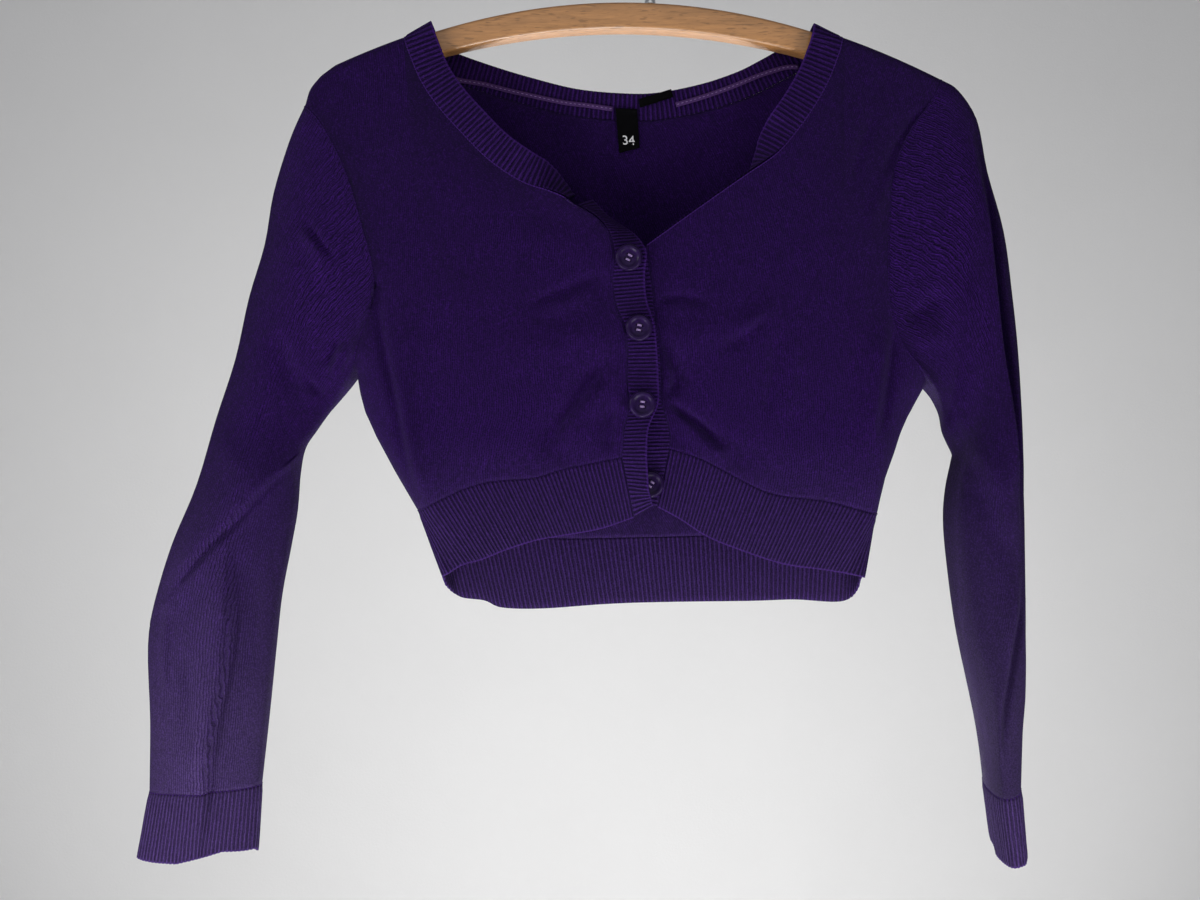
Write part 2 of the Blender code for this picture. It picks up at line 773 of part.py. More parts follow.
class Panel:
    """A panel: its four edges as (x, z) points that its neighbours share, with the sheet that it lies on."""

    def __init__(self, name, face, folds, layer, neck, shoulders, hem, centre, side):
        self.name, self.face, self.folds, self.layer = name, face, folds, layer
        self.top = np.vstack(shoulders[:1] + [neck] + shoulders[1:]) if len(shoulders) > 1 else np.vstack([neck, *shoulders])
        self.neck, self.centre, self.side = neck, centre, side
        self.us = lengths_along(self.top)[0]
        self.vs = (lengths_along(centre)[0] + lengths_along(side)[0]) / 2 if face > 0 else lengths_along(side)[0]
        self.bottom = at(hem, self.us)
        self.is_neck = (np.abs(self.top[:, None] - neck).sum(-1) < 1e-6).any(1)
        self.edges = [from_straight(centre), from_straight(side)]

    def patch(self, u, v):
        """(x, z) between the four edges. u runs from centre to side, v from bottom to top."""

        def along(values, shares, place):
            return np.stack([np.interp(place, shares, values[:, k]) for k in range(values.shape[1])], -1)

        low, high = along(self.bottom, self.us, u), along(self.top, self.us, u)
        near, far = (along(edge, self.vs, v) for edge in self.edges)
        rise = (1 - u) * near[..., 0] + u * far[..., 0]
        corner = self.us[np.flatnonzero(self.is_neck)[-1]]
        lean = np.minimum(u / corner, (1 - u) / max(1 - corner, 1e-6)) if self.face < 0 else 0 * u
        lean = lean * 4 * rise * (1 - rise) * COLUMN_LEAN * np.sign(self.side[0, 0])
        spot = low + (high - low) * rise[..., None]
        spot = spot + near[..., 1:] * (1 - u[..., None]) ** 4 + far[..., 1:] * u[..., None] ** 4
        return spot + np.stack([lean, 0 * lean], -1)

    def surface(self, u, v):
        return self.placed(self.patch(u, v))

    def placed(self, points):
        return on_sheet(points, self.face, self.folds, self.layer)

    def build(self):
        def outward(u, v, points):
            return np.broadcast_to([0.0, float(self.face), 0.0], points.shape)

        outer = self.surface(*np.meshgrid(self.us, self.vs, indexing="ij"))
        normals = normals_of(self.surface, self.us, self.vs, False, outward)
        for edge, across in self.seams():
            normals[edge] = squared(normals[edge], across)
        inner = outer - normals * KNIT_WALL
        for line in (FOLD_LINE, *SIDE_LINES.values()):
            on_line = distance_to(line, outer[..., 0], outer[..., 2]) < ON_LINE
            inner[..., 1] = np.where(on_line, outer[..., 1], inner[..., 1])
        wall(self.name, outer, inner, self.us, self.vs, self.us, self.vs, KNIT_COLOUR)

    def seams(self):
        """Each sewn edge of the grid, and the way across it."""
        arm = slice(SIDE_ROWS, None)
        outward = np.sign(self.side[0, 0])
        neck_way = (-outward if self.face < 0 else 0, 1)
        centre_rows = slice(None) if self.face < 0 else arm
        return [
            ((slice(None), 0), across_of(self.bottom, (0, -1))),
            ((np.flatnonzero(self.is_neck), -1), across_of(self.neck, neck_way)),
            ((-1, arm), across_of(self.side[arm], (outward, 0))),
            ((0, centre_rows), across_of(self.centre[centre_rows], (-outward, 0))),
        ]


def front_panel(side):
    right = side == "right"
    hem = spline(RIGHT_HEM_TOP if right else LEFT_HEM_TOP)
    rows, start = (RIGHT_NECK, NECK_POINT_RIGHT_X) if right else (LEFT_NECK, NECK_POINT_LEFT_X)
    neck = neck_points(rows, start, None, FRONT_NECK_COLUMNS)[::-1]
    seam = spline([(x, z) for x, z, *_ in (BUTTONHOLE_BAND if right else BUTTON_BAND)])
    seam = seam[(seam[:, 1] > hem[0][1] + 2) & (seam[:, 1] < neck[0][1] - 0.5)]
    edge = side_points(side, -1, hem[-1][1])
    hem[-1] = edge[0]
    centre = at(np.vstack([hem[:1], seam[::-1], neck[:1]]), lengths_along(edge)[0])
    shoulder = shoulder_points(start, edge[-1])
    layer = -OVER_FORWARD if right else UNDER_BACK
    panel = Panel(f"front_{side}", -1, FRONT_FOLDS, layer, neck, [shoulder], hem, centre, edge)
    panel.build()
    return panel


def back_panel():
    hem = spline(BACK_HEM_TOP)
    neck = neck_points(BACK_NECK, NECK_POINT_RIGHT_X, NECK_POINT_LEFT_X, BACK_NECK_COLUMNS)
    right, left = (side_points(side, 1, hem[k][1]) for side, k in (("right", 0), ("left", -1)))
    hem[0], hem[-1] = right[0], left[0]
    shoulders = [shoulder_points(NECK_POINT_RIGHT_X, right[-1])[::-1], shoulder_points(NECK_POINT_LEFT_X, left[-1])]
    panel = Panel("back", 1, BACK_FOLDS, 0.0, neck, shoulders, hem, right, left)
    panel.build()
    return panel


# Ribbed strips

def strip(name, seam, free, across, pitch, toward, closed=False, inner_ribs=3):
    """A ribbed wall between two curves of matching points. across is the way over its seam edge from the piece that it
    is sewn to, and toward a vector on its outer side, or a function."""
    if closed:
        seam, free, across = (np.vstack([row, row[:1]]) for row in (seam, free, across))
    share, length = lengths_along((seam + free) / 2)
    ribs = max(4, round(length / pitch))
    us = np.arange(2 * ribs + (0 if closed else 1)) / (2 * ribs)
    valleys = np.arange(ribs + (0 if closed else 1))
    from_end = ribs if closed else np.minimum(valleys, ribs - valleys)
    inner_us = valleys[(valleys % inner_ribs == 0) | (from_end < CLOSE_RIBS)] / ribs
    vs = np.array([0.0, 1.0])

    def along(u, points):
        u = u % 1.0 if closed else u
        return np.stack([np.interp(u, share, points[:, k]) for k in range(3)], -1)

    def surface(u, v):
        return along(u, seam) + (along(u, free) - along(u, seam)) * v[..., None]

    def outward(points):
        return toward(points) if callable(toward) else np.broadcast_to(toward, points.shape)

    def normals(stations):
        found = strip_normals(surface, stations, vs, outward)
        found[:, 0] = squared(found[:, 0], along(stations, across))
        return found

    rise = np.where(np.arange(len(us)) % 2 == 1, RIB_HEIGHT, 0.0)[:, None, None]
    outer = surface(*np.meshgrid(us, vs, indexing="ij")) + normals(us) * rise
    base = surface(*np.meshgrid(inner_us, vs, indexing="ij"))
    inner = base - normals(inner_us) * RIB_WALL
    for line in SIDE_LINES.values():
        on_line = distance_to(line, base[..., 0], base[..., 2]) < ON_LINE
        inner[..., 1] = np.where(on_line, base[..., 1], inner[..., 1])
    wall(name, outer, inner, us, vs, inner_us, vs, RIB_COLOUR, closed)


def strip_normals(surface, us, vs, outward):
    """Normals of a strip, smoothed over a few millimetres of its length, each turned to its outer side."""
    step = 0.006
    u, v = np.meshgrid(us, vs, indexing="ij")
    low, high = u - step, u + step
    if us[-1] >= 1.0:
        low, high = np.maximum(low, 0), np.minimum(high, 1)
    along = surface(high, v) - surface(low, v)
    across = surface(u, np.ones_like(v)) - surface(u, np.zeros_like(v))
    normal = np.cross(along, across)
    normal /= np.maximum(np.linalg.norm(normal, axis=-1, keepdims=True), 1e-9)
    side = outward(surface(u, v))
    return normal * np.sign((normal * side).sum(-1, keepdims=True))


def hem_rib(name, panel, bottom, pitch):
    across = subdivided(across_of(panel.bottom, (0, -1)))
    seam = subdivided(panel.placed(panel.bottom))
    free = at(spline(bottom), lengths_along(seam)[0])
    for end in [0, -1] if panel.face > 0 else [-1]:
        free[end, 0] = side_x("right" if free[end, 0] < 0 else "left", free[end, 1])
    free = on_sheet(free, panel.face, (), panel.layer)
    strip(name, seam + across * SEAM_GAP, free, across, pitch, lambda points: points * [OUT_PER_MM, 0, 0] + [0, panel.face, 0])


def front_band(name, panel, rows, hem_bottom):
    rows = spline(rows, 8)[::-1]
    corner = panel.placed(np.array(hem_bottom[:1], float))
    edge = np.vstack([corner, panel.placed(panel.centre)])
    toward = np.sign(rows[0, 2] - rows[0, 0])
    flat = subdivided(across_of(edge[:, [0, 2]], (toward, 0)))
    seam = subdivided(edge)
    free_x, free_z, out = (np.interp(seam[:, 2], rows[:, 1], rows[:, k]) for k in (2, 3, 4))
    free_y = sheet_y(seam[:, 0], seam[:, 2], -1, (), panel.layer) - out
    free = np.stack([free_x, free_y, free_z], -1)
    across = free - seam
    across /= np.linalg.norm(across, axis=-1, keepdims=True)
    # A band that turns into the garment starts a wall's thickness further out, clear of the panel's edge
    turned_in = np.maximum(across[:, 1:2], 0)
    strip(name, seam + flat * (FRONT_BAND_GAP + RIB_WALL * turned_in), free, flat, BAND_PITCH, np.array([0.0, -1.0, 0.0]))


def neck_band(right, back, left):
    """The band round the neck, from the buttonhole band over both shoulders to the button band."""
    outside = [(1, 1), (0, 1), (-1, 1)]
    rolls = [
        lambda share: table(RIGHT_NECK_ROLL, 1, 1 - share),
        lambda share: np.full(len(share), float(BACK_ROLL)),
        lambda share: table(LEFT_NECK_ROLL, 1, share),
    ]
    widths = [NECK_BAND_FRONT, NECK_BAND_BACK, NECK_BAND_FRONT]
    rows = []
    for panel, way, roll, width, order in zip((right, back, left), outside, rolls, widths, (1, 1, -1)):
        path = panel.neck[::order]
        share = lengths_along(path)[0]
        over = np.abs(2 * share - 1) ** 3 if panel.face > 0 else 0 * share
        found = np.zeros((len(path), 11))
        found[:, 0:3] = panel.placed(path)
        found[:, 3:6] = [0, panel.face, 0]
        found[:, 6:9] = across_of(path, way)
        found[:, 9] = roll(share)
        found[:, 10] = width + (NECK_BAND_FRONT - NECK_BAND_BACK) * over
        near = 1 - np.clip((shoulder_z(path[:, 0]) - path[:, 1]) / TOP_ROUND, 0, 1)[:, None] ** 0.5
        found[:, 3:6] = found[:, 3:6] * (1 - near) + np.array([0, 0, 1]) * near
        found[:, 9] += (SHOULDER_ROLL - found[:, 9]) * near[:, 0]
        rows.append(found)
    # The panels' neck points meet on the shoulders, where the band has one point between them
    for first, second in zip(rows, rows[1:]):
        first[-1] = (first[-1] + second[0]) / 2
    path = subdivided(np.vstack([rows[0], rows[1][1:], rows[2][1:]]))
    seam, normal, opening, roll, width = path[:, :3], path[:, 3:6], path[:, 6:9], path[:, 9:10], path[:, 10:]
    roll = np.radians(roll)
    opening = opening / np.linalg.norm(opening, axis=-1, keepdims=True)
    normal = squared(normal, opening)
    tuck = (KNIT_WALL + SEAM_GAP) * smooth_step((np.degrees(roll) - TUCK_FROM_ROLL) / (90 - TUCK_FROM_ROLL))
    start = seam + opening * (SEAM_GAP + RIB_WALL * np.maximum(np.sin(roll), 0)) - normal * tuck
    end = start + width * (np.cos(roll) * opening - np.sin(roll) * normal)
    outer_side = np.cos(roll) * normal + np.sin(roll) * opening
    kept = slice(NECK_BAND_TRIM, -NECK_BAND_TRIM)
    start, end, outer_side, opening = start[kept], end[kept], outer_side[kept], opening[kept]

    def toward(points):
        gap = np.linalg.norm(points[..., None, :] - (start + end) / 2, axis=-1)
        return outer_side[gap.argmin(-1)]

    strip("neck_band", start, end, opening, NECK_PITCH, toward, inner_ribs=2)


# Sleeves

def sleeve_table(rows):
    return spline(rows, 4)


def section(row, angle):
    """A point of one sleeve section: angle 0 is the outer edge, a quarter turn is the front."""
    outer, inner = row[..., 0:2], row[..., 2:4]
    depth, skew, y = row[..., 4], np.radians(row[..., 5]), row[..., 6]

    def eased(value):
        return np.sign(value) * np.abs(value) ** (2 / SLEEVE_POWER)

    across = eased(np.cos(angle))[..., None]
    xz = (outer + inner) / 2 + (outer - inner) / 2 * across
    return np.stack([xz[..., 0], y - depth * eased(np.sin(angle + skew)), xz[..., 1]], -1)


def sleeve_surface(side, rows, folds):
    rows = sleeve_table(rows)
    share = np.linspace(0, 1, len(rows))
    outward = -1 if side == "right" else 1
    arms = {face: armhole(side, face) for face in (-1, 1)}
    offsets = {face: across_of(arms[face], (outward, 0))[:, [0, 2]] * ARMHOLE_GAP for face in arms}

    def seam_ring(angle):
        angle = angle % (2 * np.pi)
        fraction = (1 - np.cos(angle)) / 2
        rings = []
        for face, arm in arms.items():
            place = lengths_along(arm)[0]
            off = np.stack([np.interp(fraction, place, offsets[face][:, k]) for k in range(2)], -1)
            ring = on_sheet(at(arm, fraction), face)
            rings.append(ring + np.stack([off[..., 0], 0 * fraction, off[..., 1]], -1))
        return np.where((angle <= np.pi + 1e-9)[..., None], rings[0], rings[1])

    first = rows[0]

    def surface(u, v):
        angle = 2 * np.pi * u
        row = np.stack([np.interp(v, share, rows[:, k]) for k in range(rows.shape[1])], -1)
        points = section(row, angle)
        bow = seam_ring(angle) - section(np.broadcast_to(first, row.shape), angle)
        points = points + bow * ((1 - smooth_step(v / SEAM_BOW_FADE)) ** 1.5)[..., None]
        relief = fold_relief(points[..., 0], points[..., 2], folds) * smooth_step(v / 0.08)
        front = np.clip(np.sin(angle), 0, 1)
        points[..., 1] -= relief * front**0.5
        return points

    return surface


def sleeve_shares():
    """Places round a sleeve, each opposite a row of the panels' armholes: 0 is the shoulder, 0.25 the front."""
    half = np.arccos(1 - 2 * armhole_shares()) / (2 * np.pi)
    return np.array([*half, *(1 - half[-2:0:-1])])


def sleeve(side, rows, folds):
    surface = sleeve_surface(side, rows, folds)
    us = sleeve_shares()
    vs = (np.arange(SLEEVE_RINGS + 1) / SLEEVE_RINGS) ** SLEEVE_RING_EASE
    rings = [*range(4), *range(4, SLEEVE_RINGS, 2), SLEEVE_RINGS]

    def outward(u, v, points):
        centre = surface(np.stack([u * 0, u * 0 + 0.5], 0), np.stack([v, v], 0)).mean(0)
        return points - centre

    outer = surface(*np.meshgrid(us, vs, indexing="ij"))
    normals = normals_of(surface, us, vs[rings], True, outward)
    away = -1 if side == "right" else 1
    front, back = (across_of(at(armhole(side, face), armhole_shares()), (away, 0)) for face in (-1, 1))
    normals[:, 0] = squared(normals[:, 0], np.vstack([front, back[-2:0:-1]]))
    normals[:, -1] = squared(normals[:, -1], np.array([0.0, 0.0, 1.0]))
    wall(f"sleeve_{side}", outer, outer[:, rings] - normals * KNIT_WALL, us, vs, us, vs[rings], KNIT_COLOUR, closed=True)


def cuff(side, rows, end, folds):
    surface = sleeve_surface(side, rows, folds)
    us = np.array([*sleeve_shares(), 1.0])
    ring = surface(us, np.ones_like(us))
    ring[-1] = ring[0]
    seam = subdivided(ring)[:-1] - [0, 0, SEAM_GAP]
    angle = 2 * np.pi * subdivided(us[:, None])[:-1, 0]
    free = section(np.broadcast_to(np.array(end[0], float), (len(angle), 7)), angle)
    centre = (seam.mean(0) + free.mean(0)) / 2
    down = np.broadcast_to([0.0, 0.0, -1.0], seam.shape)
    strip(f"cuff_{side}", seam, free, down, HEM_PITCH, lambda points: points - centre, closed=True)


# Labels and tapes

def inside_back(points, lift):
    """Points on the inner face of the back, lifted off it."""
    placed = on_sheet(np.array(points, float), 1, BACK_FOLDS)
    placed[..., 1] -= RIB_WALL + SEAM_GAP + lift
    return placed


def slab(name, near, far, colour):
    """A thin sheet between two matching grids of points."""
    us = np.linspace(0, 1, near.shape[0])
    vs = np.linspace(0, 1, near.shape[1])
    return wall(name, near, far, us, vs, us, vs, colour)


def label(name, corners, lift):
    a, b, c, d = np.array(corners, float)
    u, v = np.meshgrid(np.linspace(0, 1, 4), np.linspace(0, 1, 5), indexing="ij")
    u, v = u[..., None], v[..., None]
    spots = (a + (b - a) * u) * (1 - v) + (d + (c - d) * u) * v
    return slab(name, inside_back(spots, lift + LABEL_THICKNESS), inside_back(spots, lift), LABEL_COLOUR)


def tape(name, rows):
    path = spline(rows, 3)
    run = np.gradient(path, axis=0)
    run /= np.linalg.norm(run, axis=-1, keepdims=True)
    up = np.stack([-run[:, 1], run[:, 0]], -1) * TAPE_WIDTH / 2
    spots = np.stack([path - up, path + up], 1)
    return slab(name, inside_back(spots, 0.4 + TAPE_THICKNESS), inside_back(spots, 0.4), TAPE_COLOUR)


# Buttons

def button(number, x, z, forward, yaw, pitch, turn):
    """A four-hole button with a raised rim and a dished middle, facing the front."""
    layer = UNDER_BACK if number == 4 else -OVER_FORWARD
    y = float(sheet_y(x, z, -1, (), layer)) - RIB_HEIGHT - SEAM_GAP - forward
    thick = BUTTON_THICKNESS * MM
    shape = bmesh.new()
    ring = [shape.verts.new((BUTTON_RADIUS * MM * r, 0, thick * h)) for r, h in BUTTON_PROFILE]
    edges = [shape.edges.new(pair) for pair in zip(ring, ring[1:])]
    bmesh.ops.spin(
        shape, geom=ring + edges, cent=(0, 0, 0), axis=(0, 0, 1), angle=2 * math.pi, steps=BUTTON_SIDES, use_merge=True
    )
    bmesh.ops.remove_doubles(shape, verts=shape.verts, dist=1e-6)
    bmesh.ops.recalc_face_normals(shape, faces=shape.faces)
    mesh = bpy.data.meshes.new(f"button_{number}")
    shape.to_mesh(mesh)
    shape.free()
    piece = added(f"button_{number}", mesh, BUTTON_COLOUR)
    piece.rotation_euler = (math.radians(90 + pitch), math.radians(turn), math.radians(yaw))
    piece.location = (x * MM, y * MM, z * MM)
    for k in range(4):
        angle = math.radians(45 + 90 * k)
        spot = (BUTTON_HOLE_SPREAD * MM * math.cos(angle), BUTTON_HOLE_SPREAD * MM * math.sin(angle), 0)
        bore = bmesh.new()
        bmesh.ops.create_cone(
            bore, cap_ends=True, segments=6, radius1=BUTTON_HOLE_RADIUS * MM, radius2=BUTTON_HOLE_RADIUS * MM, depth=4 * thick
        )
        bore_mesh = bpy.data.meshes.new("button_hole")
        bore.to_mesh(bore_mesh)
        bore.free()
        cutter = bpy.data.objects.new(f"button_{number}_hole_{k + 1}", bore_mesh)
        CUTTERS.objects.link(cutter)
        cutter.parent = piece
        cutter.location = spot
        cutter.hide_render = True
        cutter.display_type = "WIRE"
        cut = piece.modifiers.new(cutter.name, "BOOLEAN")
        cut.object = cutter
        cut.operation = "DIFFERENCE"
    return piece


# Hanger

def bar_section(x):
    """The bar's outline at x: rounded along the top, a small chamfer along the bottom, and rounded ends."""
    reach = abs(2 * (x - BAR_RIGHT_END_X) / (BAR_LEFT_END_X - BAR_RIGHT_END_X) - 1)
    into_end = max(reach - BAR_ENDS_ROUND, 0) / (1 - BAR_ENDS_ROUND)
    end = math.sqrt(max(1 - into_end**2, 0.08))
    height = (BAR_HEIGHT + (BAR_END_HEIGHT - BAR_HEIGHT) * reach**2) * end
    half = (BAR_THICKNESS + (BAR_END_THICKNESS - BAR_THICKNESS) * reach**2) / 2 * (0.35 + 0.65 * end)
    top = BAR_TOP_Z - (x - BAR_PEAK_X) ** 2 / (2 * BAR_RADIUS) - (1 - end) * height * 0.4
    bottom = top - height
    r, c = BAR_TOP_ROUND * end, BAR_BOTTOM_CHAMFER * end
    arc = [(half - r + r * math.sin(a), top - r + r * math.cos(a)) for a in (0.0, math.pi / 6, math.pi / 3, math.pi / 2)]
    right = [*arc, (half, bottom + c), (half - c, bottom)]
    return [(y, z) for y, z in right] + [(-y, z) for y, z in reversed(right)]


def hanger_bar():
    ends = [BAR_ENDS_ROUND, 0.98, 0.993, 1]
    shares = [*(-share for share in reversed(ends)), *np.linspace(-0.9, 0.9, BAR_STATIONS), *ends]
    stations = [BAR_RIGHT_END_X + (BAR_LEFT_END_X - BAR_RIGHT_END_X) * (share + 1) / 2 for share in shares]
    sections = [[(x * MM, y * MM, z * MM) for y, z in bar_section(x)] for x in stations]
    count = len(sections[0])
    points = [p for ring in sections for p in ring]
    faces = [
        (i * count + j, i * count + (j + 1) % count, (i + 1) * count + (j + 1) % count, (i + 1) * count + j)
        for i in range(len(sections) - 1)
        for j in range(count)
    ]
    faces.append(tuple(range(count)))
    faces.append(tuple((len(sections) - 1) * count + j for j in reversed(range(count))))
    return mesh_object("hanger_bar", points, faces, BEECH_COLOUR)


def hanger_hook():
    """A wire hook: a shank on the hook's line, a bend out to one side, and a loop open on the other."""
    centre_z = HOOK_WIRE_RADIUS - HOOK_LOOP_RADIUS
    foot = bar_z_at_hook() + COLLAR_HEIGHT + 2 * SEAM_GAP
    points = [(0, foot), (0, foot + HOOK_SHANK), *((x, centre_z - HOOK_LOOP_RADIUS + z) for x, z in HOOK_NECK)]
    for degrees in np.linspace(HOOK_NECK_ANGLE, HOOK_TIP_ANGLE, 20):
        angle = math.radians(degrees)
        points.append((HOOK_LOOP_RADIUS * math.cos(angle), centre_z + HOOK_LOOP_RADIUS * math.sin(angle)))
    curve = bpy.data.curves.new("hanger_hook", "CURVE")
    curve.dimensions = "3D"
    curve.bevel_depth = HOOK_WIRE_RADIUS * MM
    curve.bevel_resolution = 2
    curve.use_fill_caps = True
    line = curve.splines.new("POLY")
    line.points.add(len(points) - 1)
    for spot, (x, z) in zip(line.points, points):
        spot.co = (x * MM, 0, z * MM, 1)
    curve.materials.append(material_of("hanger_hook", STEEL_COLOUR))
    piece = bpy.data.objects.new("hanger_hook", curve)
    PARTS.objects.link(piece)
    return piece


def bar_z_at_hook():
    return BAR_TOP_Z - BAR_PEAK_X**2 / (2 * BAR_RADIUS)


def hook_collar():
    """The turned metal collar where the hook enters the bar."""
    shape = bmesh.new()
    bmesh.ops.create_cone(
        shape, cap_ends=True, segments=20, radius1=COLLAR_RADIUS * MM, radius2=COLLAR_RADIUS * COLLAR_TAPER * MM, depth=COLLAR_HEIGHT * MM
    )
    mesh = bpy.data.meshes.new("hook_collar")
    shape.to_mesh(mesh)
    shape.free()
    piece = added("hook_collar", mesh, STEEL_COLOUR)
    piece.location = (0, 0, (bar_z_at_hook() + SEAM_GAP + COLLAR_HEIGHT / 2) * MM)
    return piece


def collection(name):
    made = bpy.data.collections.new(name)
    bpy.context.scene.collection.children.link(made)
    return made


for old in list(bpy.data.objects):
    bpy.data.objects.remove(old, do_unlink=True)
PARTS = collection("cropped_cardigan_bolero")
CUTTERS = collection("cutters")

hanger_bar()
hanger_hook()
hook_collar()
back = back_panel()
right_front = front_panel("right")
left_front = front_panel("left")
sleeve("right", RIGHT_SLEEVE, SLEEVE_FOLDS_RIGHT)
sleeve("left", LEFT_SLEEVE, SLEEVE_FOLDS_LEFT)
cuff("right", RIGHT_SLEEVE, RIGHT_CUFF_END, SLEEVE_FOLDS_RIGHT)
cuff("left", LEFT_SLEEVE, LEFT_CUFF_END, SLEEVE_FOLDS_LEFT)
hem_rib("hem_rib_front_right", right_front, RIGHT_HEM_BOTTOM, HEM_PITCH)
hem_rib("hem_rib_front_left", left_front, LEFT_HEM_BOTTOM, HEM_PITCH)
hem_rib("hem_rib_back", back, BACK_HEM_BOTTOM, BACK_HEM_PITCH)
front_band("buttonhole_band", right_front, BUTTONHOLE_BAND, RIGHT_HEM_BOTTOM)
front_band("button_band", left_front, BUTTON_BAND, LEFT_HEM_BOTTOM)
neck_band(right_front, back, left_front)
label("size_label", SIZE_LABEL, 0.2)
label("blank_label", BLANK_LABEL, 0.4)
tape("neck_tape_right", RIGHT_TAPE)
tape("neck_tape_left", LEFT_TAPE)
for number, row in enumerate(BUTTONS, 1):
    button(number, *row)
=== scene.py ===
"""Looks of the cropped cardigan bolero on its hanger: fine cloth, ribs, seams, buttons, hanger, camera and light.

Metres, +Z up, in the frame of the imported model: the origin is the inner top of the hook and -Y is the front.
The tables are in millimetres and repeat the sizes of the solids that the pieces stand for.
"""

import functools
import json
import math

import bmesh
import bpy
import numpy as np
from bpy.props import FloatProperty, FloatVectorProperty, PointerProperty
from mathutils import Euler, Matrix, Vector

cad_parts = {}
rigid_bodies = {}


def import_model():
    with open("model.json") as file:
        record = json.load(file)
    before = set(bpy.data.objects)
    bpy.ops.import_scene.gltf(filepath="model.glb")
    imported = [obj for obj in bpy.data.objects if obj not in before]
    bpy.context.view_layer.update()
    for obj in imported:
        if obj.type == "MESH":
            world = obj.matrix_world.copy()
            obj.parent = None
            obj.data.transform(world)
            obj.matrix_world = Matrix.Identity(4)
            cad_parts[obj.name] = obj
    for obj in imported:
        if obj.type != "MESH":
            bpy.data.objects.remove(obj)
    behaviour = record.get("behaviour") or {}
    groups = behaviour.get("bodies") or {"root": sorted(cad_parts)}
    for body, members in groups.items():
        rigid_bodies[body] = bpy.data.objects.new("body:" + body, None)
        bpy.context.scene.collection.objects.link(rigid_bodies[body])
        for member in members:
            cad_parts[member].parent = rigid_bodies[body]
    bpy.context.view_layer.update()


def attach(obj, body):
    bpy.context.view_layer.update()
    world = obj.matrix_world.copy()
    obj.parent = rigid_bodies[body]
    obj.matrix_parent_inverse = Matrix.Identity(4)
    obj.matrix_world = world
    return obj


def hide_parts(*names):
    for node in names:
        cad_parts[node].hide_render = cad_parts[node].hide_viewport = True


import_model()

bl_info = {
    "name": "Cropped cardigan bolero",
    "version": (1, 0, 0),
    "blender": (4, 5, 0),
    "location": "View3D > Sidebar > Bolero",
    "description": "Makes the knitted cloth, ribs, buttons, labels and hanger of a cropped cardigan bolero",
    "category": "Object",
}


MM = 0.001
FORWARD = np.array([0.0, -1.0, 0.0])

# Walls and seams
KNIT_WALL = 1.5
RIB_WALL = 1.6
RIB_HEIGHT = 0.6
SEAM_GAP = 0.3

# Rib pitches, peak to peak
HEM_PITCH = 2.6
BACK_HEM_PITCH = 3.2
NECK_PITCH = 3.3
BAND_PITCH = 2.55

# Hanger bar: a parabola of this top radius, its highest point left of the hook because the hanger hangs off balance
BAR_TOP_Z = -70.3
BAR_PEAK_X = -19.0
BAR_RADIUS = 427.0
BAR_RIGHT_END_X = -208.0
BAR_LEFT_END_X = 197.0
BAR_THICKNESS = 13.0
BAR_HEIGHT = 18.5
BAR_END_HEIGHT = 14.5
BAR_END_THICKNESS = 10.0
BAR_TOP_ROUND = 2.6
BAR_BOTTOM_CHAMFER = 1.5
BAR_ENDS_LEAST = 0.08
BAR_ENDS_ROUND = 0.955  # from here to 1, the share of half the bar over which each end rounds off

# Hook and its collar
HOOK_WIRE_RADIUS = 1.6
HOOK_LOOP_RADIUS = 20.0
HOOK_TIP_ANGLE = 205.0
HOOK_NECK_ANGLE = -62.0
HOOK_NECK = [(0.4, -10.0), (3.5, -3.5)]  # x, z below the loop, where the shank bends to it
HOOK_SHANK = 8.0
COLLAR_RADIUS = 4.2
COLLAR_TAPER = 0.8
COLLAR_HEIGHT = 4.5

# The cloth over the hanger: its outer face rides this far above the bar
CLOTH_OVER_BAR = 2.9
TOP_ROUND = 10.0

# Half the garment's depth by height
DEPTH_ROWS = [  # z, front, back
    (-90, 11, 11), (-130, 13, 12.5), (-180, 16, 14.5), (-240, 19, 16.5), (-310, 21, 18), (-380, 21, 19),
    (-430, 18.5, 18.5), (-500, 17, 18),
]

# Side seams: height, x, and how far in from it the front turns flat
RIGHT_SIDE = [  # z, x, front_turn
    (-329.8, -204.4, 20), (-343, -202.5, 25), (-356, -199.5, 28), (-373, -192, 24), (-397, -178.8, 18),
    (-421, -164.7, 15), (-436, -154.8, 12), (-451, -149.2, 10), (-471, -145.9, 8), (-500, -144, 8),
]
LEFT_SIDE = [  # z, x, front_turn
    (-336.6, 191.4, 22), (-347, 186, 25), (-359, 180, 24), (-371, 175, 20), (-385, 170.2, 15), (-402, 163.5, 10),
    (-415, 160.3, 9), (-432, 156.8, 9), (-451, 151.6, 8), (-471, 149.7, 8), (-500, 148, 8),
]
UNDERARM_Z = -335.0
SIDE_SEAM_BACK = 5.0
SEAM_BACK_FADE = 40.0
BACK_TURN = 9.0

# The fold past each end of the bar, over the shoulder tip and down the sleeve's outer edge
RIGHT_TIP = [  # x, z
    (-229, -121.8), (-236.6, -131.7), (-240, -143), (-245.5, -155), (-254.8, -175.8), (-262.5, -202.4),
    (-267.5, -232),
]
LEFT_TIP = [  # x, z
    (208.5, -127.6), (214.5, -132.6), (220.5, -137.4), (224.6, -143), (227.4, -151), (230, -162), (235.6, -191.6),
    (239.5, -215),
]

# How far in from each tip the fold already follows the bar
RIGHT_TIP_BLEND = 10
LEFT_TIP_BLEND = 5
CROWN_POINTS = 40

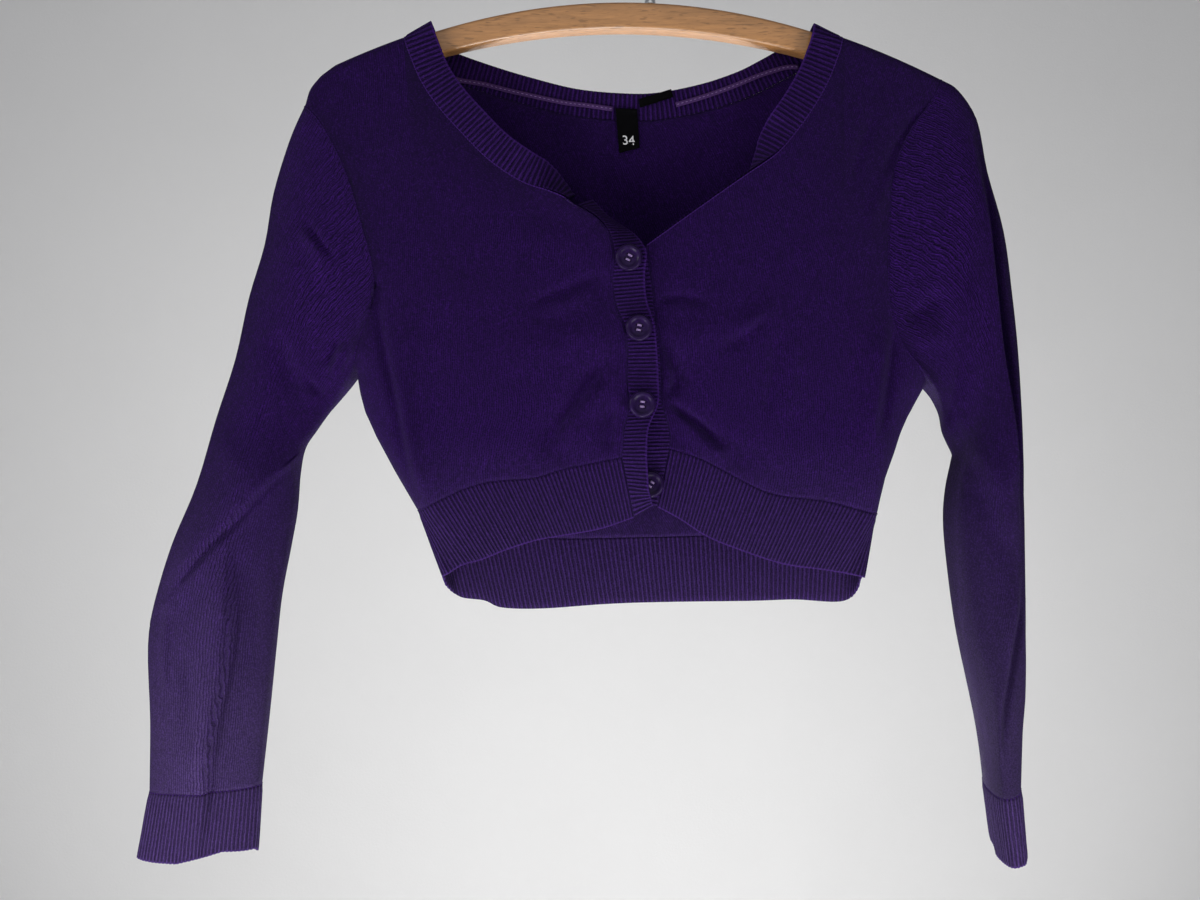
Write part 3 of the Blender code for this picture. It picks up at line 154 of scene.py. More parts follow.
# Armhole seams on the front, from the shoulder tip to the underarm
RIGHT_ARMHOLE = [  # x, z
    (-240, -143), (-227.5, -155.5), (-213, -181), (-203.5, -206), (-197, -229), (-190.5, -252), (-188.5, -271),
    (-192.5, -290), (-198.5, -308), (-204.4, -329.8),
]
LEFT_ARMHOLE = [  # x, z
    (201, -124.5), (196.5, -134.5), (188, -148), (177, -163), (166, -188), (162.5, -215), (161, -250), (162, -284),
    (169.5, -308), (181.5, -325), (191.4, -336.6),
]
BACK_ARMHOLE_BOW = 0.35

# Neck seams, where the ribbed neck band joins the panels
NECK_POINT_RIGHT_X = -171.0
NECK_POINT_LEFT_X = 133.0
RIGHT_NECK = [  # x, z from below the shoulder to the top of the buttonhole band
    (-169.5, -99.5), (-166.5, -108), (-158.5, -127), (-146.8, -145), (-129.9, -164.2), (-111.1, -183.1),
    (-89.1, -198), (-70.6, -204.5), (-60, -209), (-51, -215.5),
]
LEFT_NECK = [  # x, z from below the shoulder to the top of the button band
    (132, -99.5), (129.5, -109), (122, -128), (112, -146), (100, -163), (86, -179), (66, -193), (46, -207),
    (24, -222.5), (8, -234), (-3, -242),
]
BACK_NECK = [  # x, z from the wearer's right shoulder to the left
    (-169.5, -99.5), (-165.5, -106.5), (-157, -113), (-142, -119.5), (-119, -127), (-93, -134.5), (-56, -143.5),
    (-20, -147), (8, -146.5), (42, -140), (70, -131), (90, -121.5), (107, -112.5), (120.5, -106), (129, -101.5),
    (132, -97.5),
]

# Front bands: seam and free edge. out is how far the free edge stands in front of the seam edge
BUTTONHOLE_BAND = [  # seam_x, seam_z, free_x, free_z, out
    (-49.5, -216, -40.5, -207, -16.5), (-41.5, -221, -30, -218, -17), (-34.5, -227, -20.5, -225.5, -15),
    (-28.5, -235.5, -12, -233.5, -6), (-26, -243, -6.5, -241, -1), (-25, -250.7, -3.8, -248.5, 0),
    (-26.5, -265, -5, -263.5, 0), (-24.5, -282, -3.6, -280, 0), (-18, -298.5, 1.6, -297, 0),
    (-16.3, -316.5, 3.4, -316, 0), (-16.6, -334, 4.2, -334, 0), (-15.2, -350.9, 4, -350, 0.5),
    (-18.6, -367.5, -2.6, -367, 3), (-20, -385.4, -3.8, -385.4, 4.5), (-17.7, -401, -3.4, -403.5, 5.5),
    (-13.5, -418.5, -0.6, -416.5, 4), (-11.5, -427.5, 0.6, -419.5, 3),
]
BUTTON_BAND = [  # seam_x, seam_z, free_x, free_z, out
    (-3, -245, -19.5, -254, 0), (-2, -254, -20.5, -259, 0), (0.8, -271, -20, -271, 0), (2.4, -291, -17, -291, 0),
    (5.2, -307.3, -13.5, -307.3, 0), (6.7, -330.5, -12.5, -330.5, 0), (7, -347.5, -12, -347.5, 0),
    (11.4, -363.5, -10.5, -363.5, 0), (12.9, -375.5, -11, -376, 0), (10.9, -390, -12, -391, 0),
    (7.5, -405, -12.5, -405, 0), (4.5, -419.5, -9.5, -418, 0),
]
FRONT_BAND_GAP = 0.5
OVER_FORWARD = 1.8
UNDER_BACK = 2.0
BANDS_X = -8.0
OVERLAP_FADE = 45.0
OVERLAP_FLAT = 1.3

# Top and bottom edges of the ribbed hem
RIGHT_HEM_TOP = [  # x, z from the buttonhole band to the side seam
    (-20.5, -386.5), (-58, -394), (-80, -400.3), (-108.5, -402.8), (-128, -408), (-146, -416.5), (-158, -422.5),
    (-162.9, -424),
]
RIGHT_HEM_BOTTOM = [  # x, z
    (-12.2, -427.5), (-36.4, -435.5), (-63, -440.3), (-80, -443.5), (-100, -450), (-115.3, -456.2), (-128.8, -460),
    (-139.5, -466.5), (-146.1, -470),
]
LEFT_HEM_TOP = [  # x, z from the button band to the side seam
    (12.6, -380.5), (33.2, -387.3), (52.8, -397.3), (72.4, -407.5), (90, -412.8), (118, -416), (138, -421),
    (151, -424.5), (158.4, -426),
]
LEFT_HEM_BOTTOM = [  # x, z
    (4.5, -420.5), (20.1, -429), (37.5, -440.3), (59.4, -449.3), (90, -459.3), (118.2, -463.3), (139, -467),
    (149.8, -470),
]
BACK_HEM_TOP = [  # x, z from the wearer's right side to the left
    (-162.9, -424), (-155, -428.5), (-136, -437), (-105, -443), (-57, -445), (0, -444), (39, -443), (90, -441.5),
    (130, -437), (150.5, -430.5), (158.4, -426),
]
BACK_HEM_BOTTOM = [  # x, z
    (-146.1, -470.5), (-143.5, -479.5), (-135, -487), (-118, -489.5), (-105, -494.6), (-75.5, -495.2), (-30, -492),
    (11.5, -490.6), (73, -489.8), (104.6, -488.8), (130, -490.4), (142, -489), (147.6, -482), (149.8, -470.5),
]

# Sleeves: the outer and inner edge of each section, half its depth, and the skew that turns it about its own length
RIGHT_SLEEVE = [  # outer_x, outer_z, inner_x, inner_z, depth, skew
    (-240, -143, -204.4, -329.8, 16, 0), (-251, -167, -209, -337, 16, 0),
    (-262.5, -202.4, -216.5, -346.5, 16, 0), (-269, -238, -225, -356.5, 15, 0),
    (-280, -275, -233.5, -368.5, 14, 0), (-289.5, -318, -241.5, -381, 14, 0),
    (-302.5, -360, -245.3, -399, 14, 5), (-315.5, -406, -247.5, -424, 14, 8),
    (-331.5, -445.5, -252, -450, 13, 8), (-345, -486, -258, -483, 13, 5),
    (-350.8, -518, -261.5, -518, 13, 0), (-349.2, -570, -266.8, -570, 13, 0),
    (-349.6, -619.5, -271.8, -615, 13, 0),
]
LEFT_SLEEVE = [  # outer_x, outer_z, inner_x, inner_z, depth, skew
    (201, -124.5, 191.4, -336.6, 16, 0), (213, -132, 199.5, -346.5, 17, 4), (225, -152, 205, -358, 18, 14),
    (230.4, -189.5, 208.5, -368.9, 20, 32), (240.5, -231, 212.8, -377, 22, 38),
    (245.7, -273.6, 217.3, -386, 23, 40), (249.5, -314, 216.6, -393, 24, 40),
    (252.3, -364.6, 212.9, -410.5, 25, 38), (253.7, -412.3, 211.3, -431.9, 26, 34),
    (254.8, -456.7, 213.4, -461.9, 27, 28), (256.8, -512, 219, -512, 28, 12),
    (257.9, -568, 229.2, -568, 28, -12), (256.6, -612, 235.1, -618, 28, -20),
]
RIGHT_CUFF_END = (-358.0, -667.0, -275.0, -663.0, 13, 0)
LEFT_CUFF_END = (259.8, -655.0, 241.2, -659.0, 28, -20)
ARMHOLE_GAP = 0.5
SLEEVE_POWER = 2.3
SEAM_BOW_FADE = 0.28

# Soft folds: a line from x1, z1 to x2, z2, how far it stands out, and its width above and below the line
SLEEVE_FOLDS_RIGHT = [  # x1, z1, x2, z2, out, above, below
    (-242, -382, -337, -490, 4.5, 40, 7), (-232, -230, -218, -262, 1.8, 12, 7),
    (-288, -440, -304, -600, 2.5, 13, 11),
]
SLEEVE_FOLDS_LEFT = [
    (226, -150, 250, -400, 2, 10, 10), (206, -395, 246, -408, 2, 14, 7),
]
FRONT_FOLDS = [
    (-28, -268, -72, -296, -1.8, 9, 9), (-22, -300, -95, -318, 1.6, 12, 12), (12, -306, 80, -292, 1.5, 12, 12),
    (16, -366, 72, -388, -2.2, 10, 10), (-26, -352, -70, -384, -1.6, 10, 10), (-172, -300, -150, -412, 2, 14, 14),
    (158, -300, 146, -412, 2, 12, 12),
]
BACK_FOLDS = [
    (-120, -330, -60, -425, 1.8, 16, 12), (110, -345, 70, -425, 1.6, 14, 14), (-20, -300, -8, -430, 1.2, 18, 16),
]

# Buttons: three fastened over the buttonhole band, the fourth left undone on the button band
BUTTON_RADIUS = 9.1
BUTTON_THICKNESS = 3.0
BUTTON_HOLE_RADIUS = 0.95
BUTTON_HOLE_SPREAD = 2.3
BUTTONS = [  # x, z, forward, turn to the side, turn down, turned about itself
    (-15.3, -251.4, 0.8, -4, 3, 28), (-8.6, -298.9, 0.1, 0, 0, 12), (-6.5, -350.7, 1.3, 3, 0, 6),
    (-0.4, -404.8, 0.1, 0, 0, 35),
]

# Labels and neck tapes, on the inside of the back
SIZE_LABEL = [(-24.0, -139.0), (-8.6, -139.6), (-6.8, -166.5), (-21.3, -170.3)]
BLANK_LABEL = [(-6.6, -138.5), (17.0, -131.0), (15.5, -125.5), (-7.5, -132.5)]
SIZE_LABEL_LIFT = 0.2
BLANK_LABEL_LIFT = 0.4
LABEL_THICKNESS = 0.8
TAPE_WIDTH = 3.4
TAPE_THICKNESS = 0.8
TAPE_LIFT = 0.4
TAPE_COLUMNS = 7
TAPE_CURL = 0.25
WOVEN_PLAY = 0.1  # kept between a woven wall and the cloth behind it, and between the tape and its stitches
RIGHT_TAPE = [  # x, z
    (-141, -117), (-134, -119.5), (-118, -122), (-100, -126.5), (-82, -130.5), (-60, -135), (-43, -137),
    (-26, -139.5),
]
LEFT_TAPE = [  # x, z
    (19, -136.5), (38, -131), (58, -124), (78, -116), (96, -110.5), (106, -110),
]

# Fineness of the meshes
SHOULDER_COLUMNS = 34
SHOULDER_EASE = 1.3
COLUMN_LEAN = 14.0
FRONT_NECK_COLUMNS = 84
BACK_NECK_COLUMNS = 100
SIDE_ROWS = 34
ARMHOLE_ROWS = 96
SLEEVE_RINGS = 205
SEAM_PARTS = 2
RIB_COLUMNS = 8
TOP_STEPS = [0.0, 0.4, 1.0, 1.8, 2.8, 4.0, 5.5, 7.2, 9.0, 11.0]
NECK_STEPS = [0.5, 1.2, 2.2, 3.5, 5.0, 7.0]
FOLD_POWER = 2.6
TURN_POWER = 2.0


# How the neck band turns along its seam, in degrees: 0 lies in the panel, 90 points into the garment
RIGHT_NECK_ROLL = [  # fraction from the shoulder to the front band, roll
    (0, -6), (0.1, 0), (0.72, 0), (0.82, 14), (0.89, 48), (0.94, 68), (1, 72),
]
LEFT_NECK_ROLL = [
    (0, -6), (0.1, 0), (0.36, 8), (0.46, 40), (0.56, 88), (0.68, 104), (1, 108),
]
SHOULDER_ROLL = -16
BACK_ROLL = 4
NECK_BAND_FRONT = 21.0
NECK_BAND_BACK = 18.5
NECK_BAND_TRIM = 8  # points of the neck seam left free at each end of its band
TUCK_FROM_ROLL = 55

# How far the hem's outer side leans sideways for each millimetre from the middle
OUT_PER_MM = 0.004


# Ribs of the dressed piece
RIB_SHARPNESS = 0.62
RIB_VALLEY = 0.12
RIB_INSIDE = 0.5
RIB_UNEVEN = 0.14
RIB_WANDER = 0.09
RIB_WAVES = 1.3
RIB_WAVE_STEP = 0.37
RIB_OUTER_ROWS = [0.0, 0.04, 0.12, 0.25, 0.4, 0.55, 0.7, 0.84, 0.93, 0.975, 1.0]
RIB_INNER_ROWS = [0.98, 0.9, 0.75, 0.55, 0.35, 0.15, 0.02, 0.0]
RIB_ROOT = 0.45  # share of a rib's height at its seam, which grows to the whole over this share of the width
RIB_ROOT_TO = 0.12
RIB_EDGE_LOWER = 0.45
EDGE_FROM = 0.93
EDGE_BEAD = 0.35
EDGE_ROUND = 0.45
LEAST_FACING = 0.05

# A share of a surface's or a path's length over which its direction is measured
NEARBY = 0.002

# The shares over which a crease fades in at each end, and over which a sleeve's folds set in below its seam
CREASE_FADE = 0.3
FOLDS_FROM = 0.08

# The same creases on the hidden side of a sleeve: their share of the front's and how far up they move
HIDDEN_CREASE_SHARE = 0.6
HIDDEN_CREASE_SHIFT = -14.0

# How far the front of each cuff's edge rises along its way, and where in the sleeve's depth that fades out
CUFF_WAVES = {  # x, rise
    "right": [(-358, 2.0), (-342, 0.5), (-326, -0.5), (-308, 3.0), (-295, 6.0), (-275, 4.0)],
    "left": [(236, -5.0), (243, -5.0), (247, -4.0), (252, -4.5), (256, -2.0), (262, -2.0)],
}
CUFF_WAVE_DEPTH = 8.0

# Sewing: linked seams and stitches
SEAM_CORD_RADIUS = 0.75
SEAM_CORD_SUNK = 0.45
SEAM_CORD_POINTS = 220
LINKED_RADIUS = 0.6
LINKED_SUNK = 0.55
CORD_SIDES = 10
LINKED_SIDES = 8
LINK_LIFT = 0.2
LINK_PITCH = 2.1
LINK_SIZE = (1.15, 0.5, 0.42)
CUFF_LINK_PITCH = 2.6
CUFF_LINK_SIZE = (0.75, 0.5, 0.45)
TAPE_STITCH_PITCH = 3.1
TAPE_STITCH_SIZE = (0.95, 0.26, 0.22)

# Button, its holes and its thread
BUTTON_STEPS = 64
BUTTON_HOLE_STEPS = 20
BUTTON_PROFILE = [  # share of the radius, share of the thickness, from the dished middle over the rim to the back
    (0, 0.58), (0.2, 0.585), (0.4, 0.61), (0.54, 0.66), (0.62, 0.735), (0.68, 0.86), (0.74, 0.96), (0.8, 1),
    (0.87, 0.97), (0.93, 0.86), (0.98, 0.66), (1, 0.45), (0.97, 0.22), (0.86, 0.06), (0.72, 0), (0, 0),
]
THREAD_RADIUS = 0.34
THREAD_LIFT = 0.42
THREAD_APART = 0.32

# Label: its fold at the top, its woven edge and its figures
LABEL_COLUMNS = 24
LABEL_ROWS = 36
LABEL_SEAM = 0.09
LABEL_FOLD = 0.5
FIGURES = "34"
FIGURES_AT = (0.5, 0.76)
FIGURES_HEIGHT = 6.4
FIGURES_LIFT = 0.12

# Hanger
BAR_STEPS = 150
BAR_ARC_STEPS = 6
HOOK_STEPS = 72
WIRE_SIDES = 20
COLLAR_STEPS = 48
COLLAR_BEVEL = 0.5

# Creases over the broad folds: out, width on the left and on the right of the way along, then points
SLEEVE_CREASES_RIGHT = [
    (7, 2.2, 26, [(-239, -381), (-262, -403), (-276, -417), (-290, -431), (-307, -448), (-323, -467),
        (-334, -485)]),
    (-3.6, 2.4, 2.6, [(-241, -387), (-261, -406), (-274, -420), (-287, -434), (-304, -451), (-320, -470),
        (-331, -488)]),
    (8, 2.2, 20, [(-285, -428), (-290, -457), (-290, -499), (-295, -540), (-301, -569), (-306, -609),
        (-310, -658)]),
    (-2.4, 2.4, 2.4, [(-282, -430), (-286, -457), (-285, -499), (-291, -540), (-297, -569), (-302, -609),
        (-306, -657)]),
    (2.2, 3, 7, [(-266, -441), (-263, -499), (-268, -560), (-272, -610)]),
    (-2.2, 6, 6, [(-321, -512), (-317, -554), (-318, -595)]),
    (1.8, 2.4, 4, [(-332, -488), (-335, -519), (-334, -554)]),
    (-2.6, 2.2, 2.2, [(-239, -224), (-231, -233), (-222, -244), (-213, -253)]),
    (1.6, 6, 4, [(-241, -232), (-233, -241), (-224, -252)]),
    (-2.4, 7, 9, [(-261, -299), (-248, -328), (-237, -347)]),
    (2.2, 2.6, 4, [(-206, -309), (-213, -318), (-220, -333)]),
    (-2.4, 2.6, 2.6, [(-212, -305), (-218, -314), (-224, -326)]),
    (-2, 3, 3, [(-239, -329), (-232, -338), (-224, -344)]), (1.4, 8, 9, [(-302, -368), (-284, -390), (-272, -398)]),
    (-2, 5, 6, [(-276, -457), (-274, -499), (-278, -540)]),
]
SLEEVE_CREASES_LEFT = [
    (9, 2.2, 16, [(217, -148), (221, -182), (226, -223), (231, -272), (235, -313), (240, -347),
        (244, -382), (245, -416), (247, -457)]),
    (-6, 2.4, 2.4, [(222, -149), (225, -182), (231, -223), (235, -272), (240, -313), (244, -347),
        (248, -382), (249, -416), (251, -455)]),
    (6.5, 3, 10, [(247, -449), (244, -485), (238, -519), (233, -554), (233, -589), (236, -622)]),
    (-3.4, 2.4, 2.4, [(251, -457), (248, -488), (243, -521), (238, -555), (237, -589)]),
    (3, 2.4, 4, [(246, -477), (251, -512), (254, -554), (255, -578)]),
    (2.8, 10, 4, [(218, -366), (229, -395), (239, -427), (245, -452)]),
    (-2.6, 4, 6, [(214, -375), (223, -402), (233, -437), (237, -464)]),
    (-3.4, 5, 6, [(172, -295), (185, -286), (203, -273)]), (2.4, 7, 8, [(176, -309), (189, -306), (203, -299)]),
    (-2.6, 8, 9, [(213, -203), (217, -244), (218, -285)]), (-2.4, 4, 4, [(195, -342), (206, -353), (217, -358)]),
    (-1.6, 6, 6, [(202, -161), (204, -203), (203, -244)]),
]
FRONT_CREASES = [
    (-3, 4, 3.5, [(-27, -261), (-42, -265), (-56, -272), (-73, -278), (-90, -287)]),
    (1.6, 6, 6, [(-35, -273), (-52, -280), (-71, -289)]),
    (-4.2, 5, 9, [(-24, -311), (-35, -325), (-49, -344), (-63, -361), (-71, -375), (-76, -390)]),
    (2.6, 12, 7, [(-33, -331), (-43, -351), (-52, -371), (-57, -386)]),
    (-2.6, 4, 4, [(-27, -347), (-29, -368), (-31, -386)]),
    (-3.4, 6, 3, [(4, -298), (12, -316), (17, -333), (9, -349)]),
    (-3.6, 3, 2.6, [(9, -345), (20, -355), (30, -362), (41, -371), (50, -380)]),
    (2.8, 5, 6, [(15, -356), (27, -369), (42, -382), (59, -382)]),
    (-2.2, 3, 3, [(2, -280), (20, -277), (34, -280), (40, -287)]),
    (-2.2, 6, 3, [(83, -288), (68, -300), (54, -309), (43, -313)]),
    (1.4, 6, 6, [(86, -280), (70, -292), (52, -302)]), (-1.8, 6, 5, [(86, -298), (83, -333), (78, -364)]),
    (1.6, 8, 8, [(94, -303), (93, -336), (87, -364)]),
    (-2.6, 3.5, 3.5, [(-183, -256), (-186, -285), (-182, -313), (-175, -342), (-171, -368), (-164, -404),
        (-155, -424)]),
    (3.4, 7, 3, [(-178, -314), (-171, -342), (-166, -368), (-159, -402), (-151, -422)]),
    (-3, 3.5, 4.5, [(166, -291), (163, -320), (160, -347), (155, -375)]),
    (2.6, 3, 9, [(159, -299), (156, -327), (152, -354), (148, -382)]),
    (-1.8, 3.5, 3.5, [(192, -139), (180, -156), (167, -175), (158, -197)]),
    (1.5, 5, 5, [(177, -174), (159, -203), (147, -234)]), (-1.4, 4, 4, [(156, -146), (143, -175), (137, -201)]),
    (-1.6, 10, 10, [(-35, -237), (-63, -225), (-90, -213)]),
]
BACK_CREASES = [
    (-1.4, 8, 8, [(-30, -404), (-24, -420), (-26, -438)]), (-1.2, 6, 6, [(12, -408), (10, -424), (14, -438)]),
    (-1.6, 12, 12, [(-140, -250), (-112, -310), (-100, -372)]),
    (1.6, 12, 10, [(126, -230), (112, -300), (108, -360)]), (-1.2, 14, 12, [(-30, -190), (-12, -250), (-22, -320)]),
    (1, 12, 12, [(46, -170), (58, -230), (48, -300)]),
]

# Each knitted piece: the width and length that it is cut or knitted to, laid flat, and its area, in metres, what it
# hangs on and what is sewn to it
ON_BACK = [
    "hem_seam_back", "size_label_woven", "size_figures", "blank_label_woven", "neck_tape_right_woven",
    "neck_tape_right_stitches", "neck_tape_left_woven", "neck_tape_left_stitches",
]
CUTS = [
    ("back_knit", 0.510, 0.360, 0.127, ["hanger_bar_wood"], ON_BACK),
    ("front_right_knit", 0.273, 0.330, 0.046, ["hanger_bar_wood"],
        ["hem_seam_front_right", "band_seam_front_right"]),
    ("front_left_knit", 0.292, 0.343, 0.044, ["hanger_bar_wood"],
        ["hem_seam_front_left", "band_seam_front_left"]),
    ("sleeve_right_knit", 0.390, 0.493, 0.080, ["front_right_knit", "back_knit"], ["armhole_seam_right"]),
    ("sleeve_left_knit", 0.430, 0.504, 0.073, ["front_left_knit", "back_knit"], ["armhole_seam_left"]),
    ("cuff_right_rib", 0.186, 0.048, 0.0089, ["sleeve_right_knit"], ["cuff_links_right"]),
    ("cuff_left_rib", 0.130, 0.043, 0.0055, ["sleeve_left_knit"], ["cuff_links_left"]),
    ("hem_rib_front_right_rib", 0.162, 0.047, 0.0076, ["front_right_knit"], []),
    ("hem_rib_front_left_rib", 0.172, 0.046, 0.0079, ["front_left_knit"], []),
    ("hem_rib_back_rib", 0.335, 0.050, 0.0165, ["back_knit"], []),
    ("buttonhole_band_rib", 0.229, 0.019, 0.0043, ["front_right_knit"], []),
    ("button_band_rib", 0.173, 0.020, 0.0034, ["front_left_knit"], []),
    ("neck_band_rib", 0.703, 0.020, 0.0140, ["back_knit", "front_right_knit", "front_left_knit"], ["neck_links"]),
]
PIECE_WORDS = {
    "knit": "knit",
    "rib": "rib",
    "button": "disc",
    "label": "woven",
    "tape": "woven",
    "beech": "wood",
    "steel": "metal",
}
SLEEVES = {
    "right": (RIGHT_SLEEVE, SLEEVE_FOLDS_RIGHT, SLEEVE_CREASES_RIGHT),
    "left": (LEFT_SLEEVE, SLEEVE_FOLDS_LEFT, SLEEVE_CREASES_LEFT),
}

# Finish of the yarn, and the painted light and shade in its colour
KNIT_ROUGHNESS = 0.9
KNIT_SHEEN = 0.03
KNIT_SHEEN_TINT = (0.55, 0.45, 0.85)
# Painted highlight along the cast-off edge of the ribs
EDGE_PAINTED_HIGHLIGHT = 1.9
STITCH_DRIFT = 0.0022
# Painted light: a pale colour on the raised yarn, growing between two heights, for the brighter light low down
LOW_PAINTED_LIGHT_COLOUR = (0.10, 0.072, 0.16)
LOW_PAINTED_LIGHT_SHARE = 0.38
LOW_PAINTED_LIGHT_FROM = -0.37
LOW_PAINTED_LIGHT_FULL = -0.58
# Painted shade in the valleys of the ribs
RIB_PAINTED_SHADE = 0.74
# Painted shade in the grooves between the columns of stitches
WALE_PAINTED_SHADE = 0.95

# Stage: metres and watts
BACKDROP_Y = 1.8
FAR_BACKDROP_Y = -5.0
FLOOR_Z = -1.9
STAGE_SIZE = 14.0
BACKDROP_Z = -0.4
WORLD_COLOUR = (0.92, 0.94, 1.0, 1)
WORLD_STRENGTH = 0.29
SPOT_BLEND = 0.6
LIGHTS = [  # name, place, aimed at, width, watts, cone in degrees, or 0 for a soft disc
    ("left_low_light", (-0.62, -0.45, -0.85), (-0.25, 0, -0.5), 0.5, 6, 0),
    ("right_low_light", (0.52, -0.45, -0.85), (0.18, 0, -0.5), 0.5, 4.6, 0),
    ("top_front_light", (0, -1.15, 0.3), (0, 0, -0.2), 1.4, 3.2, 0),
    ("left_raking_light", (-1.8, -0.6, 0.15), (-0.05, 0, -0.35), 0.6, 11, 0),
    ("wall_light", (0.1, -0.3, -1.55), (0, 1.8, -0.5), 0.4, 100, 120),
    ("left_back_light", (0.5, 1.5, -1.65), (0, 0, -0.3), 0.3, 100, 50),
    ("right_back_light", (-0.5, 1.5, -1.65), (0, 0, -0.3), 0.3, 85, 50),
]
CAMERA_AT = (-0.035, -0.70, -0.3816)
CAMERA_LENS = 30.0
CAMERA_SENSOR = 36.0


# Curves

def spline(rows, per_span=6):
    """Points of a Catmull-Rom curve through the rows."""
    points = np.array(rows, float)
    padded = np.vstack([2 * points[0] - points[1], points, 2 * points[-1] - points[-2]])
    steps = np.linspace(0, 1, per_span, endpoint=False)[:, None]
    spans = []
    for i in range(len(points) - 1):
        a, b, c, d = padded[i : i + 4]
        square, cube = 2 * a - 5 * b + 4 * c - d, 3 * b - a - 3 * c + d
        spans.append(0.5 * (2 * b + (c - a) * steps + square * steps**2 + cube * steps**3))
    return np.vstack([*spans, points[-1:]])


def lengths_along(points):
    """The share of the curve's length at each of its points, and the whole length."""
    steps = np.linalg.norm(np.diff(points, axis=0), axis=1)
    run = np.concatenate([[0.0], np.cumsum(steps)])
    return run / run[-1], run[-1]


def between(place, marks, points):
    """Points of a curve at a place on the scale that marks its points."""
    return np.stack([np.interp(place, marks, points[:, k]) for k in range(points.shape[1])], -1)


def at(points, fraction):
    """Points of a curve at these shares of its length."""
    return between(fraction, lengths_along(points)[0], points)


def unit(vectors):
    return vectors / np.linalg.norm(vectors, axis=-1, keepdims=True)


def table(rows, column, key):
    rows = np.array(rows, float)
    order = np.argsort(rows[:, 0])
    return np.interp(key, rows[order, 0], rows[order, column])


def distance_to(path, x, z):
    """Distance of each point (x, z) from a polyline."""
    start, step = path[:-1], np.diff(path, axis=0)
    offset = np.stack([x, z], -1)[..., None, :] - start
    share = np.clip((offset * step).sum(-1) / (step**2).sum(-1), 0, 1)
    return np.linalg.norm(offset - share[..., None] * step, axis=-1).min(-1)


def roundness(share, power):
    """A quarter of a superellipse: 0 at the fold, 1 once the cloth lies flat."""
    return (1 - (1 - np.clip(share, 0, 1)) ** power) ** (1 / power)


def smooth_step(share):
    share = np.clip(share, 0, 1)
    return share * share * (3 - 2 * share)


# The cloth sheets: front and back, folded at the shoulders and sleeves' edges and turned at the side seams

def shoulder_z(x):
    return BAR_TOP_Z + CLOTH_OVER_BAR - (x - BAR_PEAK_X) ** 2 / (2 * BAR_RADIUS)


def fold_line():
    crown = np.linspace(RIGHT_TIP[0][0] + RIGHT_TIP_BLEND, LEFT_TIP[0][0] - LEFT_TIP_BLEND, CROWN_POINTS)
    arc = np.stack([crown, shoulder_z(crown)], -1)
    return np.vstack([spline(RIGHT_TIP)[::-1], arc, spline(LEFT_TIP)])


FOLD_LINE = fold_line()
SIDE_LINES = {
    "right": np.array([(x, z) for z, x, _ in RIGHT_SIDE]),
    "left": np.array([(x, z) for z, x, _ in LEFT_SIDE]),
}


def fold_relief(x, z, folds):
    """How far the soft folds stand out at each point."""
    relief = np.zeros_like(x)
    for x1, z1, x2, z2, out, above, below in folds:
        run = np.array([x2 - x1, z2 - z1])
        length = np.hypot(*run)
        run = run / length
        along = (x - x1) * run[0] + (z - z1) * run[1]
        across = -(x - x1) * run[1] + (z - z1) * run[0]
        across = across * (1 if run[0] >= 0 else -1)
        width = np.where(across > 0, above, below)
        ends = smooth_step((along + width) / (2 * width)) * smooth_step((length - along + width) / (2 * width))
        relief += out * ends * np.exp(-((across / width) ** 2))
    return relief


def crease_relief(x, z, creases):
    """How far the listed creases stand out at each point."""
    relief = np.zeros_like(x)
    for out, left, right, points in creases:
        path = spline(points, 4)
        run = np.diff(path, axis=0)
        length = np.linalg.norm(run, axis=1)
        offset = np.stack([x, z], -1)[..., None, :] - path[:-1]
        share = np.clip((offset * run).sum(-1) / length**2, 0, 1)
        gap = offset - share[..., None] * run
        apart = np.linalg.norm(gap, axis=-1)
        near = apart.argmin(-1)[..., None]
        turn = run[:, 0] * offset[..., 1] - run[:, 1] * offset[..., 0]
        apart, turn, share = (np.take_along_axis(a, near, -1)[..., 0] for a in (apart, turn, share))
        done = np.concatenate([[0.0], np.cumsum(length)])
        along = (done[near[..., 0]] + share * length[near[..., 0]]) / done[-1]
        width = np.where(turn > 0, left, right)
        ends = smooth_step(along / CREASE_FADE) * smooth_step((1 - along) / CREASE_FADE)
        relief += out * ends * np.exp(-((apart / width) ** 2))
    return relief


def sheet_y(x, z, face, folds, layer=0.0, creases=()):
    """Depth of the front (face -1) or back (face 1) sheet. layer moves it where the fronts overlap."""
    x, z = np.asarray(x, float), np.asarray(z, float)
    depth = table(DEPTH_ROWS, 1 if face < 0 else 2, z)
    top = roundness(distance_to(FOLD_LINE, x, z) / TOP_ROUND, FOLD_POWER)
    side_rows = {"right": RIGHT_SIDE, "left": LEFT_SIDE}
    turned = np.ones_like(x)
    for side, line in SIDE_LINES.items():
        turn = table(side_rows[side], 2, z) if face < 0 else BACK_TURN
        turned = turned * roundness(distance_to(line, x, z) / turn, TURN_POWER)
    seam_back = SIDE_SEAM_BACK * smooth_step((UNDERARM_Z - z) / SEAM_BACK_FADE)
    overlap = layer * smooth_step(OVERLAP_FLAT - np.abs(x - BANDS_X) / OVERLAP_FADE)
    relief = fold_relief(x, z, folds) + crease_relief(x, z, creases)
    out = SEAM_GAP / 2 + (depth + relief) * top * turned
    return face * out + seam_back * (1 - turned) + overlap


def on_sheet(points, face, folds=(), layer=0.0, creases=()):
    """(x, z) points set at their depth on a sheet, as (x, y, z)."""
    x, z = points[..., 0], points[..., 1]
    return np.stack([x, sheet_y(x, z, face, folds, layer, creases), z], -1)


